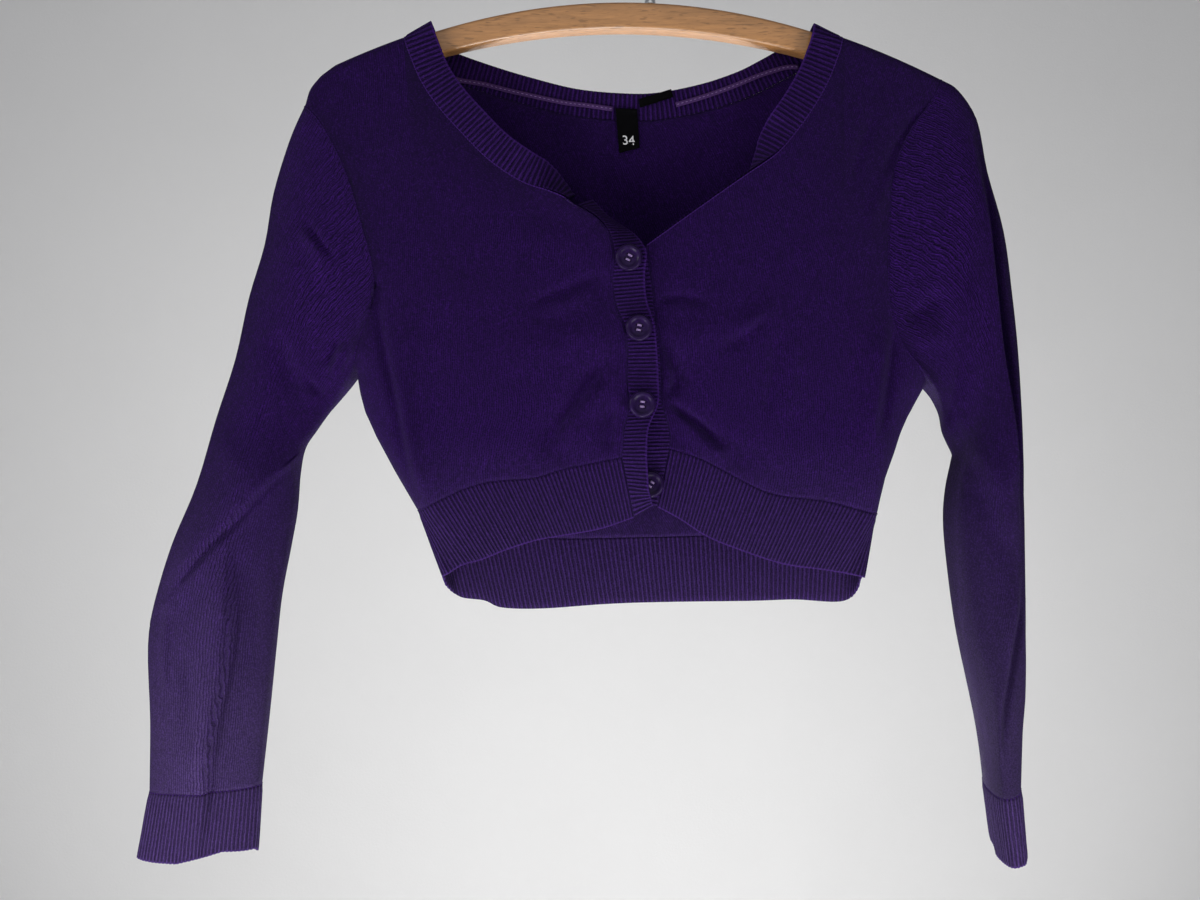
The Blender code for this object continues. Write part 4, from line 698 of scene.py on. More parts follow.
def tube_normals(surface, us, vs, toward):
    """Unit normals of a tube's surface. toward gives the outward side at each point."""
    u, v = np.meshgrid(us, vs, indexing="ij")
    low_v, high_v = np.maximum(v - NEARBY, vs[0]), np.minimum(v + NEARBY, vs[-1])
    normal = np.cross(surface(u + NEARBY, v) - surface(u - NEARBY, v), surface(u, high_v) - surface(u, low_v))
    normal /= np.maximum(np.linalg.norm(normal, axis=-1, keepdims=True), 1e-9)
    side = toward(u, v, surface(u, v))
    flip = np.sign((normal * side).sum(-1, keepdims=True).mean())
    return normal * flip


# Seams

def across_of(path, toward):
    """Unit vectors across a seam's (x, z) path, on the side that toward, an (x, z) vector, points to."""
    run = np.gradient(path, axis=0)
    across = unit(np.stack([-run[:, 1], np.zeros(len(run)), run[:, 0]], -1))
    return across * np.sign((across[:, [0, 2]] @ np.array(toward, float)).mean())


def squared(normals, across):
    """Normals without their part across a seam, so that the walls either side of it stay a gap apart."""
    return unit(normals - across * (normals * across).sum(-1, keepdims=True))


def subdivided(points):
    """The polyline with each span cut into equal parts."""
    place = np.arange((len(points) - 1) * SEAM_PARTS + 1) / SEAM_PARTS
    return between(place, np.arange(len(points)), points)


def armhole(side, face):
    """The armhole seam from tip to underarm. The back's is straighter."""
    front = spline(RIGHT_ARMHOLE if side == "right" else LEFT_ARMHOLE)
    if face < 0:
        return front
    share = lengths_along(front)[0][:, None]
    straight = front[0] + (front[-1] - front[0]) * share
    return straight + (front - straight) * BACK_ARMHOLE_BOW


def armhole_shares():
    """The rows down an armhole, close together over the rounded shoulder."""
    whole = lengths_along(armhole("right", -1))[1]
    even = (1 - np.cos(np.pi * np.arange(ARMHOLE_ROWS + 1) / ARMHOLE_ROWS)) / 2
    return np.array([*(np.array(TOP_STEPS) / whole), *even[even * whole > 1.5 * TOP_STEPS[-1]]])


# Panels

def side_x(side, z):
    line = SIDE_LINES[side]
    return np.interp(-z, -line[:, 1], line[:, 0])


def side_points(side, face, hem_z):
    """A panel's side, from the hem up the side seam and round the armhole to the shoulder tip."""
    line = SIDE_LINES[side]
    seam = np.vstack([[(side_x(side, hem_z), hem_z)], line[line[:, 1] > hem_z + 3][::-1]])
    low = at(seam, np.arange(SIDE_ROWS) / SIDE_ROWS)
    return np.vstack([low, at(armhole(side, face), armhole_shares()[::-1])])


def shoulder_points(start_x, tip):
    """The shoulder seam, along the fold from the neck point to the armhole's top, without the neck point."""
    share = 1 - (1 - np.arange(1, SHOULDER_COLUMNS + 1) / SHOULDER_COLUMNS) ** SHOULDER_EASE
    xs = start_x + (tip[0] - start_x) * share
    points = np.stack([xs, np.interp(xs, FOLD_LINE[:, 0], FOLD_LINE[:, 1])], -1)
    points[-1] = tip
    return points


def neck_points(rows, first_x, last_x, columns):
    """A neck seam between its ends, closer where it rounds over a shoulder. An x of None is at the front."""
    ends = [np.array([(x, shoulder_z(x))]) for x in (first_x, last_x) if x is not None]
    path = np.vstack([ends[0], spline(rows)] + ends[1:])
    steps = np.array([0.0, *NECK_STEPS]) / lengths_along(path)[1]
    last = 1.0 if last_x is None else 1 - steps[-1]
    even = np.linspace(steps[-1], last, columns)
    return at(path, [*steps[:-1], *even, *([] if last_x is None else 1 - steps[-2::-1])])


def from_straight(path):
    """How far up the straight line between its ends each point of a path is, and its offset from there."""
    whole = path[-1] - path[0]
    rise = ((path - path[0]) @ whole) / (whole @ whole)
    return np.column_stack([rise, path - path[0] - rise[:, None] * whole])


class Panel:
    """A panel: its four edges as (x, z) points that its neighbours share, with the sheet that it lies on."""

    def __init__(self, face, folds, creases, layer, neck, shoulders, hem, centre, side):
        self.face, self.folds, self.creases, self.layer = face, folds, creases, layer
        self.out = np.array([0.0, face, 0.0])
        self.top = np.vstack([*shoulders[:-1], neck, shoulders[-1]])
        self.neck, self.centre, self.side = neck, centre, side
        self.us = lengths_along(self.top)[0]
        self.vs = (lengths_along(centre)[0] + lengths_along(side)[0]) / 2 if face > 0 else lengths_along(side)[0]
        self.bottom = at(hem, self.us)
        self.corner = self.us[np.flatnonzero((np.abs(self.top[:, None] - neck).sum(-1) < 1e-6).any(1))[-1]]
        self.edges = [from_straight(centre), from_straight(side)]

    def patch(self, u, v):
        """(x, z) between the four edges. u runs from centre to side, v from bottom to top."""
        low, high = between(u, self.us, self.bottom), between(u, self.us, self.top)
        near, far = (between(v, self.vs, edge) for edge in self.edges)
        rise = (1 - u) * near[..., 0] + u * far[..., 0]
        lean = np.minimum(u / self.corner, (1 - u) / max(1 - self.corner, 1e-6)) if self.face < 0 else 0 * u
        lean = lean * 4 * rise * (1 - rise) * COLUMN_LEAN * np.sign(self.side[0, 0])
        spot = low + (high - low) * rise[..., None]
        spot = spot + near[..., 1:] * (1 - u[..., None]) ** 4 + far[..., 1:] * u[..., None] ** 4
        return spot + np.stack([lean, 0 * lean], -1)

    def surface(self, u, v):
        return self.placed(self.patch(u, v))

    def placed(self, points):
        return on_sheet(points, self.face, self.folds, self.layer, self.creases)

    def points(self):
        return self.surface(*np.meshgrid(self.us, self.vs, indexing="ij"))


@functools.cache
def front_panel(side):
    right = side == "right"
    hem = spline(RIGHT_HEM_TOP if right else LEFT_HEM_TOP)
    rows, start = (RIGHT_NECK, NECK_POINT_RIGHT_X) if right else (LEFT_NECK, NECK_POINT_LEFT_X)
    neck = neck_points(rows, start, None, FRONT_NECK_COLUMNS)[::-1]
    seam = spline([(x, z) for x, z, *_ in (BUTTONHOLE_BAND if right else BUTTON_BAND)])
    seam = seam[(seam[:, 1] > hem[0][1] + 2) & (seam[:, 1] < neck[0][1] - 0.5)]
    edge = side_points(side, -1, hem[-1][1])
    hem[-1] = edge[0]
    centre = at(np.vstack([hem[:1], seam[::-1], neck[:1]]), lengths_along(edge)[0])
    shoulder = shoulder_points(start, edge[-1])
    layer = -OVER_FORWARD if right else UNDER_BACK
    return Panel(-1, FRONT_FOLDS, FRONT_CREASES, layer, neck, [shoulder], hem, centre, edge)


@functools.cache
def back_panel():
    hem = spline(BACK_HEM_TOP)
    neck = neck_points(BACK_NECK, NECK_POINT_RIGHT_X, NECK_POINT_LEFT_X, BACK_NECK_COLUMNS)
    right, left = (side_points(side, 1, hem[k][1]) for side, k in (("right", 0), ("left", -1)))
    hem[0], hem[-1] = right[0], left[0]
    shoulders = [shoulder_points(NECK_POINT_RIGHT_X, right[-1])[::-1], shoulder_points(NECK_POINT_LEFT_X, left[-1])]
    return Panel(1, BACK_FOLDS, BACK_CREASES, 0.0, neck, shoulders, hem, right, left)


# Ribbed strips

def strip_normals(surface, us, vs, outward):
    """Normals of a strip, smoothed over a few millimetres of its length, each turned to its outer side."""
    step = 0.006
    u, v = np.meshgrid(us, vs, indexing="ij")
    low, high = u - step, u + step
    if us[-1] >= 1.0:
        low, high = np.maximum(low, 0), np.minimum(high, 1)
    along = surface(high, v) - surface(low, v)
    across = surface(u, np.ones_like(v)) - surface(u, np.zeros_like(v))
    normal = np.cross(along, across)
    normal /= np.maximum(np.linalg.norm(normal, axis=-1, keepdims=True), 1e-9)
    side = outward(surface(u, v))
    facing = (normal * side).sum(-1, keepdims=True)
    turned = normal * np.sign(facing)
    # Where one edge has no side of its own, the other edge's serves
    return np.where(np.abs(facing) < LEAST_FACING, turned[:, ::-1], turned)


# Sleeves

def section(row, angle):
    """A point of one sleeve section: angle 0 is the outer edge, a quarter turn is the front."""
    outer, inner = row[..., 0:2], row[..., 2:4]
    depth, skew = row[..., 4], np.radians(row[..., 5])

    def eased(value):
        return np.sign(value) * np.abs(value) ** (2 / SLEEVE_POWER)

    across = eased(np.cos(angle))[..., None]
    xz = (outer + inner) / 2 + (outer - inner) / 2 * across
    return np.stack([xz[..., 0], -depth * eased(np.sin(angle + skew)), xz[..., 1]], -1)


@functools.cache
def sleeve_surface(side):
    rows, folds, creases = SLEEVES[side]
    rows = spline(rows, 4)
    share = np.linspace(0, 1, len(rows))
    outward = -1 if side == "right" else 1
    arms = {face: armhole(side, face) for face in (-1, 1)}
    offsets = {face: across_of(arms[face], (outward, 0))[:, [0, 2]] * ARMHOLE_GAP for face in arms}

    def seam_ring(angle):
        angle = angle % (2 * np.pi)
        fraction = (1 - np.cos(angle)) / 2
        rings = []
        for face, arm in arms.items():
            place = lengths_along(arm)[0]
            off = between(fraction, place, offsets[face])
            ring = on_sheet(at(arm, fraction), face)
            rings.append(ring + np.stack([off[..., 0], 0 * fraction, off[..., 1]], -1))
        return np.where((angle <= np.pi + 1e-9)[..., None], rings[0], rings[1])

    first = rows[0]

    def surface(u, v):
        angle = 2 * np.pi * u
        row = between(v, share, rows)
        points = section(row, angle)
        bow = seam_ring(angle) - section(np.broadcast_to(first, row.shape), angle)
        points = points + bow * ((1 - smooth_step(v / SEAM_BOW_FADE)) ** 1.5)[..., None]
        x, z = points[..., 0], points[..., 2]
        begun = smooth_step(v / FOLDS_FROM)
        relief = (fold_relief(x, z, folds) + crease_relief(x, z, creases)) * begun
        behind = crease_relief(x, z + HIDDEN_CREASE_SHIFT, creases) * HIDDEN_CREASE_SHARE * begun
        points[..., 1] -= relief * np.clip(np.sin(angle), 0, 1) ** 0.5
        points[..., 1] += behind * np.clip(-np.sin(angle), 0, 1) ** 0.5
        return points

    return surface


def sleeve_shares():
    """Places round a sleeve, each opposite a row of the panels' armholes: 0 is the shoulder, 0.25 the front."""
    half = np.arccos(1 - 2 * armhole_shares()) / (2 * np.pi)
    return np.array([*half, *(1 - half[-2:0:-1])])


# On the inside of the back

def inside_back(points, lift):
    """Points on the inner face of the back, lifted off it."""
    placed = on_sheet(np.array(points, float), 1, BACK_FOLDS, 0.0, BACK_CREASES)
    placed[..., 1] -= RIB_WALL + SEAM_GAP + lift
    return placed


def label_spots(corners, columns, rows):
    """(x, z) over a label between its four corners, from its top left."""
    a, b, c, d = np.array(corners, float)
    u, v = np.meshgrid(np.linspace(0, 1, columns), np.linspace(0, 1, rows), indexing="ij")
    u, v = u[..., None], v[..., None]
    return (a + (b - a) * u) * (1 - v) + (d + (c - d) * u) * v


# Meshes

def mesh_from(shape, name):
    """The shape as a new mesh. The shape is let go."""
    mesh = bpy.data.meshes.new(name)
    shape.to_mesh(mesh)
    shape.free()
    return mesh


def in_scene(name, data):
    made = bpy.data.objects.new(name, data)
    bpy.context.scene.collection.objects.link(made)
    return made


def cloth_mesh(name, points, outward, uv=None, welded=False):
    """A mesh of quads through points [column][row] in millimetres, with a UV map in metres that follows the lengths
    unless it is given. outward is a vector at each point, or one for all. welded joins the points that meet, on a
    tube, and "filled" also closes its ends."""
    uv = np.stack([run_of(points, 0), run_of(points, 1)], -1) if uv is None else uv
    columns, rows = points.shape[:2]
    shape = bmesh.new()
    bmesh.ops.create_grid(shape, x_segments=columns - 1, y_segments=rows - 1, size=1)
    mesh = bpy.data.meshes.new(name)
    shape.to_mesh(mesh)
    places = np.empty(len(mesh.vertices) * 3, np.float32)
    mesh.vertices.foreach_get("co", places)
    places = (places.reshape(-1, 3)[:, :2] + 1) / 2 * [columns - 1, rows - 1]
    i, j = np.rint(places).astype(int).T
    mesh.vertices.foreach_set("co", (points[i, j] * MM).astype(np.float32).ravel())
    corners = np.empty(len(mesh.loops), np.int32)
    mesh.loops.foreach_get("vertex_index", corners)
    layer = mesh.uv_layers.new(name="UVMap")
    layer.data.foreach_set("uv", uv[i[corners], j[corners]].astype(np.float32).ravel())
    mesh.update()
    facing = np.empty(len(mesh.vertices) * 3, np.float32)
    mesh.vertices.foreach_get("normal", facing)
    side = np.broadcast_to(outward, points.shape)[i, j]
    turned = (facing.reshape(-1, 3) * side).sum() < 0
    shape.clear()
    shape.from_mesh(mesh)
    if turned:
        bmesh.ops.reverse_faces(shape, faces=shape.faces)
    if welded:
        bmesh.ops.remove_doubles(shape, verts=shape.verts, dist=1e-7)
        open_edges = [edge for edge in shape.edges if edge.is_boundary]
        if welded == "filled" and open_edges:
            bmesh.ops.holes_fill(shape, edges=open_edges, sides=0)
    shape.to_mesh(mesh)
    shape.free()
    return mesh


def piece_of(name, mesh, material, slot, nodes=(), thickness=0.0):
    """An object that rides on the part, with its finish, the CAD nodes it stands for, and a wall's thickness."""
    if nodes:
        name = f"{name}_{PIECE_WORDS[slot]}"
        mesh.name = name
    piece = in_scene(name, mesh)
    mesh.materials.clear()
    mesh.materials.append(material)
    mesh.shade_smooth()
    if thickness:
        wall = piece.modifiers.new("cloth_thickness", "SOLIDIFY")
        wall.thickness = thickness
        wall.offset = -1
    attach(piece, "root")
    if nodes:
        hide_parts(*nodes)
    return piece


def run_of(points, axis):
    """The length along a grid of points to each of them, in metres."""
    steps = np.linalg.norm(np.diff(points, axis=axis), axis=-1)
    return np.insert(np.cumsum(steps, axis=axis), 0, 0, axis=axis) * MM


def declare_sheets():
    """Goes through the cut table and looks up the small pieces sewn to each knitted piece."""
    objects = bpy.data.objects
    for name, width, length, area, rests_on, sewn in CUTS:
        sewn = [objects[key] for key in sewn]


# Knitted pieces

def knit_panel(name, panel):
    mesh = cloth_mesh(name, panel.points(), panel.out)
    return piece_of(name, mesh, knit_material(), "knit", [name], settings().wall)


def knit_sleeve(side):
    surface = sleeve_surface(side)
    us = np.array([*sleeve_shares(), 1.0])
    vs = np.linspace(0, 1, SLEEVE_RINGS + 1)
    points = surface(*np.meshgrid(us, vs, indexing="ij"))
    points[-1] = points[0]
    around = run_of(points, 0)
    width = around[-1].mean()
    uv = np.stack([np.broadcast_to(us[:, None] * width, around.shape), run_of(points, 1)], -1)
    name = f"sleeve_{side}"
    mesh = cloth_mesh(name, points, points - points[:-1].mean(0), uv, "tube")
    return piece_of(name, mesh, knit_material(), "knit", [name], settings().wall)


def rib_strip(name, seam, free, across, pitch, toward, closed=False):
    """A ribbed strip between two curves of matching points, ribbed inside too, with a rounded cast-off edge. across
    is the way over its seam edge from the piece that it is sewn to, and toward its outer side, or a function."""
    if closed:
        seam, free, across = (np.vstack([row, row[:1]]) for row in (seam, free, across))
    share, length = lengths_along((seam + free) / 2)
    ribs = max(4, round(length / pitch))
    us = np.arange(ribs * RIB_COLUMNS + 1) / (ribs * RIB_COLUMNS)
    outer_vs, inner_vs = np.array(RIB_OUTER_ROWS), np.array(RIB_INNER_ROWS)
    height = settings().rib_height / MM

    def along(u, points):
        return between(u % 1.0 if closed else u, share, points)

    def width_at(u):
        return along(u, free) - along(u, seam)

    def surface(u, v):
        return along(u, seam) + width_at(u) * v[..., None]

    def outward(points):
        return toward(points) if callable(toward) else np.broadcast_to(toward, points.shape)

    stations = us[:-1] if closed else us
    normals = strip_normals(surface, stations, np.array([0.0, 1.0]), outward)
    if closed:
        normals = np.concatenate([normals, normals[:1]])
    square = squared(normals[:, 0], along(us, across))
    span = np.linalg.norm(between(us, share, free) - between(us, share, seam), axis=-1).mean()

    def side(vs, inside):
        u, v = np.meshgrid(us, vs, indexing="ij")
        index = np.floor(u * ribs + 0.5 * (not inside)) % ribs
        wander = RIB_WANDER * np.sin(2 * np.pi * (v * RIB_WAVES + RIB_WAVE_STEP * index)) * np.sin(np.pi * v)
        phase = np.pi * (u * ribs + wander)
        ridge = np.abs(np.cos(phase) if inside else np.sin(phase)) ** RIB_SHARPNESS
        uneven = 1 + RIB_UNEVEN * np.sin(2.4 * np.floor(u * ribs) + 4.1 * v)
        edge = smooth_step((v - EDGE_FROM) / (1 - EDGE_FROM))
        drawn = (RIB_ROOT + (1 - RIB_ROOT) * smooth_step(v / RIB_ROOT_TO)) * (1 - RIB_EDGE_LOWER * edge)
        if inside:
            out = -RIB_WALL + RIB_INSIDE * (1 - ridge)
        else:
            out = -RIB_VALLEY + (height + RIB_VALLEY) * ridge * uneven * drawn + EDGE_BEAD * edge * height
        lean = smooth_step(v / 0.1)[..., None]
        over = v[..., None]
        normal = unit(square[:, None] * (1 - lean) + (normals[:, :1] * (1 - over) + normals[:, 1:] * over) * lean)
        reach = 1 + edge * (0.3 * ridge) / span
        return surface(u, v * reach) + normal * out[..., None], normal

    outer, outer_normal = side(outer_vs, False)
    inner, inner_normal = side(inner_vs, True)
    rounded = (outer[:, -1:] + inner[:, :1]) / 2 + width_at(us)[:, None] * (EDGE_ROUND / span)
    points = np.concatenate([outer, rounded, inner, outer[:, :1]], 1)
    if closed:
        points[-1] = points[0]
    vs = np.concatenate([outer_vs, [1.02], 2.04 - inner_vs, [2.04]])
    u, v = np.meshgrid(us * ribs * 2 * settings().wale - settings().wale / 2, vs * span * MM, indexing="ij")
    facing = np.concatenate([outer_normal, outer_normal[:, -1:], -inner_normal, -inner_normal[:, -1:]], 1)
    mesh = cloth_mesh(name, points, facing, np.stack([u, v], -1), "tube" if closed else "filled")
    return piece_of(name, mesh, rib_material(span * MM), "rib", [name])


def hem_rib(name, panel, bottom, pitch):
    across = subdivided(across_of(panel.bottom, (0, -1)))
    seam = subdivided(panel.placed(panel.bottom))
    free = at(spline(bottom), lengths_along(seam)[0])
    for end in [0, -1] if panel.face > 0 else [-1]:
        free[end, 0] = side_x("right" if free[end, 0] < 0 else "left", free[end, 1])
    free = on_sheet(free, panel.face, (), panel.layer)

    def outward(points):
        return points * [OUT_PER_MM, 0, 0] + panel.out

    return rib_strip(name, seam + across * SEAM_GAP, free, across, pitch, outward)


def cuff(side, end):
    surface = sleeve_surface(side)
    us = np.array([*sleeve_shares(), 1.0])
    ring = surface(us, np.ones_like(us))
    ring[-1] = ring[0]
    seam = subdivided(ring)[:-1] - [0, 0, SEAM_GAP]
    angle = 2 * np.pi * subdivided(us[:, None])[:-1, 0]
    free = section(np.broadcast_to(np.array(end), (len(angle), len(end))), angle)
    free[:, 2] += table(CUFF_WAVES[side], 1, free[:, 0]) * smooth_step(0.5 - free[:, 1] / CUFF_WAVE_DEPTH)
    centre = (seam.mean(0) + free.mean(0)) / 2
    down = np.broadcast_to([0.0, 0.0, -1.0], seam.shape)
    return rib_strip(f"cuff_{side}", seam, free, down, HEM_PITCH, lambda points: points - centre, closed=True)


def front_band(name, panel, rows, hem_bottom):
    rows = spline(rows, 8)[::-1]
    corner = panel.placed(np.array(hem_bottom[:1], float))
    edge = np.vstack([corner, panel.placed(panel.centre)])
    toward = np.sign(rows[0, 2] - rows[0, 0])
    flat = subdivided(across_of(edge[:, [0, 2]], (toward, 0)))
    seam = subdivided(edge)
    free_x, free_z, out = (np.interp(seam[:, 2], rows[:, 1], rows[:, k]) for k in (2, 3, 4))
    free_y = sheet_y(seam[:, 0], seam[:, 2], -1, (), panel.layer) - out
    free = np.stack([free_x, free_y, free_z], -1)
    turned_in = np.maximum(unit(free - seam)[:, 1:2], 0)
    start = seam + flat * (FRONT_BAND_GAP + RIB_WALL * turned_in)
    return rib_strip(name, start, free, flat, BAND_PITCH, FORWARD)


@functools.cache
def neck_seam():
    """The neck seam from the buttonhole band to the button band: its points, the cloth's outward normal, the way
    into the neck opening, the band's roll in degrees and its width, one column each."""
    right, back, left = front_panel("right"), back_panel(), front_panel("left")
    outside = [(1, 1), (0, 1), (-1, 1)]
    rolls = [
        lambda share: table(RIGHT_NECK_ROLL, 1, 1 - share),
        lambda share: np.full(len(share), float(BACK_ROLL)),
        lambda share: table(LEFT_NECK_ROLL, 1, share),
    ]
    widths = [NECK_BAND_FRONT, NECK_BAND_BACK, NECK_BAND_FRONT]
    rows = []
    for panel, way, roll, width, order in zip((right, back, left), outside, rolls, widths, (1, 1, -1)):
        path = panel.neck[::order]
        share = lengths_along(path)[0]
        over = np.abs(2 * share - 1) ** 3 if panel.face > 0 else 0 * share
        found = np.zeros((len(path), 11))
        found[:, 0:3] = panel.placed(path)
        found[:, 3:6] = [0, panel.face, 0]
        found[:, 6:9] = across_of(path, way)
        found[:, 9] = roll(share)
        found[:, 10] = width + (NECK_BAND_FRONT - NECK_BAND_BACK) * over
        near = 1 - np.clip((shoulder_z(path[:, 0]) - path[:, 1]) / TOP_ROUND, 0, 1)[:, None] ** 0.5
        found[:, 3:6] = found[:, 3:6] * (1 - near) + np.array([0, 0, 1]) * near
        found[:, 9] += (SHOULDER_ROLL - found[:, 9]) * near[:, 0]
        rows.append(found)
    for first, second in zip(rows, rows[1:]):
        first[-1] = (first[-1] + second[0]) / 2
    return subdivided(np.vstack([rows[0], rows[1][1:], rows[2][1:]]))


def neck_band():
    path = neck_seam()
    seam, normal, opening, roll, width = path[:, :3], path[:, 3:6], path[:, 6:9], path[:, 9:10], path[:, 10:]
    roll = np.radians(roll)
    opening = unit(opening)
    normal = squared(normal, opening)
    tuck = (KNIT_WALL + SEAM_GAP) * smooth_step((np.degrees(roll) - TUCK_FROM_ROLL) / (90 - TUCK_FROM_ROLL))
    start = seam + opening * (SEAM_GAP + RIB_WALL * np.maximum(np.sin(roll), 0)) - normal * tuck
    end = start + width * (np.cos(roll) * opening - np.sin(roll) * normal)
    outer_side = np.cos(roll) * normal + np.sin(roll) * opening
    kept = slice(NECK_BAND_TRIM, -NECK_BAND_TRIM)
    start, end, outer_side, opening = (row[kept] for row in (start, end, outer_side, opening))
    middle = (start + end) / 2

    def toward(points):
        flat = points.reshape(-1, 3)
        parts = np.array_split(flat, 20)
        nearest = [np.linalg.norm(part[:, None] - middle, axis=-1).argmin(-1) for part in parts]
        return outer_side[np.concatenate(nearest)].reshape(points.shape)

    return rib_strip("neck_band", start, end, opening, NECK_PITCH, toward)


# Seams and stitches

def cord_mesh(name, path, radius, sides, up, closed=False):
    """A round cord along a path. up is roughly one side of it at each point."""
    if closed:
        path, up = np.vstack([path, path[:1]]), np.vstack([up, up[:1]])
    run = np.gradient(path, axis=0)
    if closed:
        run[0] = run[-1] = path[1] - path[-2]
    run = unit(run)
    up = squared(up, run)
    side = np.cross(run, up)
    angle = np.linspace(0, 2 * np.pi, sides + 1)[None, :, None]
    ring = up[:, None] * np.cos(angle) + side[:, None] * np.sin(angle)
    ring[:, -1] = ring[:, 0]
    points = path[:, None] + ring * radius
    share = lengths_along(path)
    u, v = np.meshgrid(share[0] * share[1] * MM, np.linspace(0, 2 * np.pi * radius * MM, sides + 1), indexing="ij")
    return cloth_mesh(name, points, ring, np.stack([u, v], -1), "tube" if closed else "filled")


def stitch_row(name, path, up, pitch, size, material, slot):
    """Small oval stitches along a path, each lying the path's way. size is half its length, width and height."""
    share, length = lengths_along(path)
    count = int(length / pitch)
    places = (np.arange(count) + 0.5) / count
    spots, lifts = (between(places, share, row) for row in (path, up))
    ahead, behind = (between(np.clip(places + step, 0, 1), share, path) for step in (NEARBY, -NEARBY))
    shape = bmesh.new()
    for spot, lift, run in zip(spots, lifts, ahead - behind):
        run = run / np.linalg.norm(run)
        lift = squared(lift, run)
        sides = np.column_stack([run * size[0], np.cross(lift, run) * size[1], lift * size[2]])
        place = Matrix.Translation(Vector(spot * MM)) @ Matrix(sides * MM).to_4x4()
        bmesh.ops.create_icosphere(shape, subdivisions=1, radius=1, matrix=place)
    bmesh.ops.recalc_face_normals(shape, faces=shape.faces)
    return piece_of(name, mesh_from(shape, name), material, slot)


def armhole_seam(side):
    surface = sleeve_surface(side)
    us = np.arange(SEAM_CORD_POINTS) / SEAM_CORD_POINTS
    vs = np.array([0.0, 0.01])

    def outward(u, v, points):
        return points - surface(u + 0.5, v)

    ring = surface(us, np.zeros_like(us))
    normals = tube_normals(surface, us, vs, outward)[:, 0]
    path = ring - normals * SEAM_CORD_SUNK
    name = f"armhole_seam_{side}"
    mesh = cord_mesh(name, path, SEAM_CORD_RADIUS, CORD_SIDES, normals, closed=True)
    return piece_of(name, mesh, knit_material(), "knit")


def seam_cord(name, path, out):
    """A linked seam between two pieces, half sunk between them. out is the cloth's outward side along it."""
    out = np.broadcast_to(out, path.shape)
    mesh = cord_mesh(name, path - out * LINKED_SUNK, LINKED_RADIUS, LINKED_SIDES, out)
    return piece_of(name, mesh, knit_material(), "knit")


def panel_seams(name, panel):
    """The linked seams of a panel's hem and, on a front, of its band."""
    seam_cord(f"hem_seam_{name}", panel.placed(panel.bottom) + [0, 0, -SEAM_GAP / 2], panel.out)
    if panel.face < 0:
        inward = -np.sign(panel.side[0, 0])
        seam_cord(f"band_seam_{name}", panel.placed(panel.centre) + [inward * FRONT_BAND_GAP / 2, 0, 0], panel.out)


def neck_links():
    path = neck_seam()
    spots = path[:, :3] + path[:, 6:9] * SEAM_GAP / 2 + path[:, 3:6] * LINK_LIFT
    return stitch_row("neck_links", spots, path[:, 3:6], LINK_PITCH, LINK_SIZE, thread_material(), "knit")


def cuff_links(side):
    surface = sleeve_surface(side)
    us = np.linspace(0, 1, SEAM_CORD_POINTS + 1)
    ring = surface(us, np.ones_like(us))
    ring[-1] = ring[0]
    out = ring - surface(us + 0.5, np.ones_like(us))
    path = ring - [0, 0, SEAM_GAP / 2]
    return stitch_row(f"cuff_links_{side}", path, out, CUFF_LINK_PITCH, CUFF_LINK_SIZE, thread_material(), "knit")


# Labels and tapes

def label(name, corners, lift):
    """A woven label on the inside of the back, thicker where it is folded over at the top."""
    spots = label_spots(corners, LABEL_COLUMNS, LABEL_ROWS)
    fold = np.exp(-((np.linspace(0, 1, LABEL_ROWS) / LABEL_SEAM) ** 2)) * LABEL_FOLD
    face = inside_back(spots, lift + LABEL_THICKNESS)
    face[..., 1] -= fold
    mesh = cloth_mesh(name, face, FORWARD)
    return piece_of(name, mesh, label_material(), "label", [name], (LABEL_THICKNESS - WOVEN_PLAY) * MM)


def figures():
    """The size in figures, lying on the label."""
    text = bpy.data.curves.new("size_figures", "FONT")
    text.body = FIGURES
    text.align_x = "CENTER"
    text.align_y = "CENTER"
    text.extrude = 0.02
    source = bpy.data.objects.new("size_figures_text", text)
    mesh = bpy.data.meshes.new_from_object(source)
    bpy.data.objects.remove(source)
    spots = np.empty(len(mesh.vertices) * 3, np.float32)
    mesh.vertices.foreach_get("co", spots)
    spots = spots.reshape(-1, 3)
    high = np.ptp(spots[:, 1])
    spots = (spots - [*(spots[:, :2].max(0) + spots[:, :2].min(0)) / 2, 0]) * FIGURES_HEIGHT / high
    a, b, c, d = np.array(SIZE_LABEL, float)
    right, down = (b - a) / np.linalg.norm(b - a), (d - a) / np.linalg.norm(d - a)
    middle = (a + (b - a) * FIGURES_AT[0]) * (1 - FIGURES_AT[1]) + (d + (c - d) * FIGURES_AT[0]) * FIGURES_AT[1]
    flat = middle + spots[:, :1] * right - spots[:, 1:2] * down
    placed = inside_back(flat, SIZE_LABEL_LIFT + LABEL_THICKNESS + FIGURES_LIFT)
    placed[:, 1] -= spots[:, 2]
    mesh.vertices.foreach_set("co", (placed * MM).astype(np.float32).ravel())
    shape = bmesh.new()
    shape.from_mesh(mesh)
    bmesh.ops.recalc_face_normals(shape, faces=shape.faces)
    shape.to_mesh(mesh)
    shape.free()
    return piece_of("size_figures", mesh, white_thread_material(), "label")


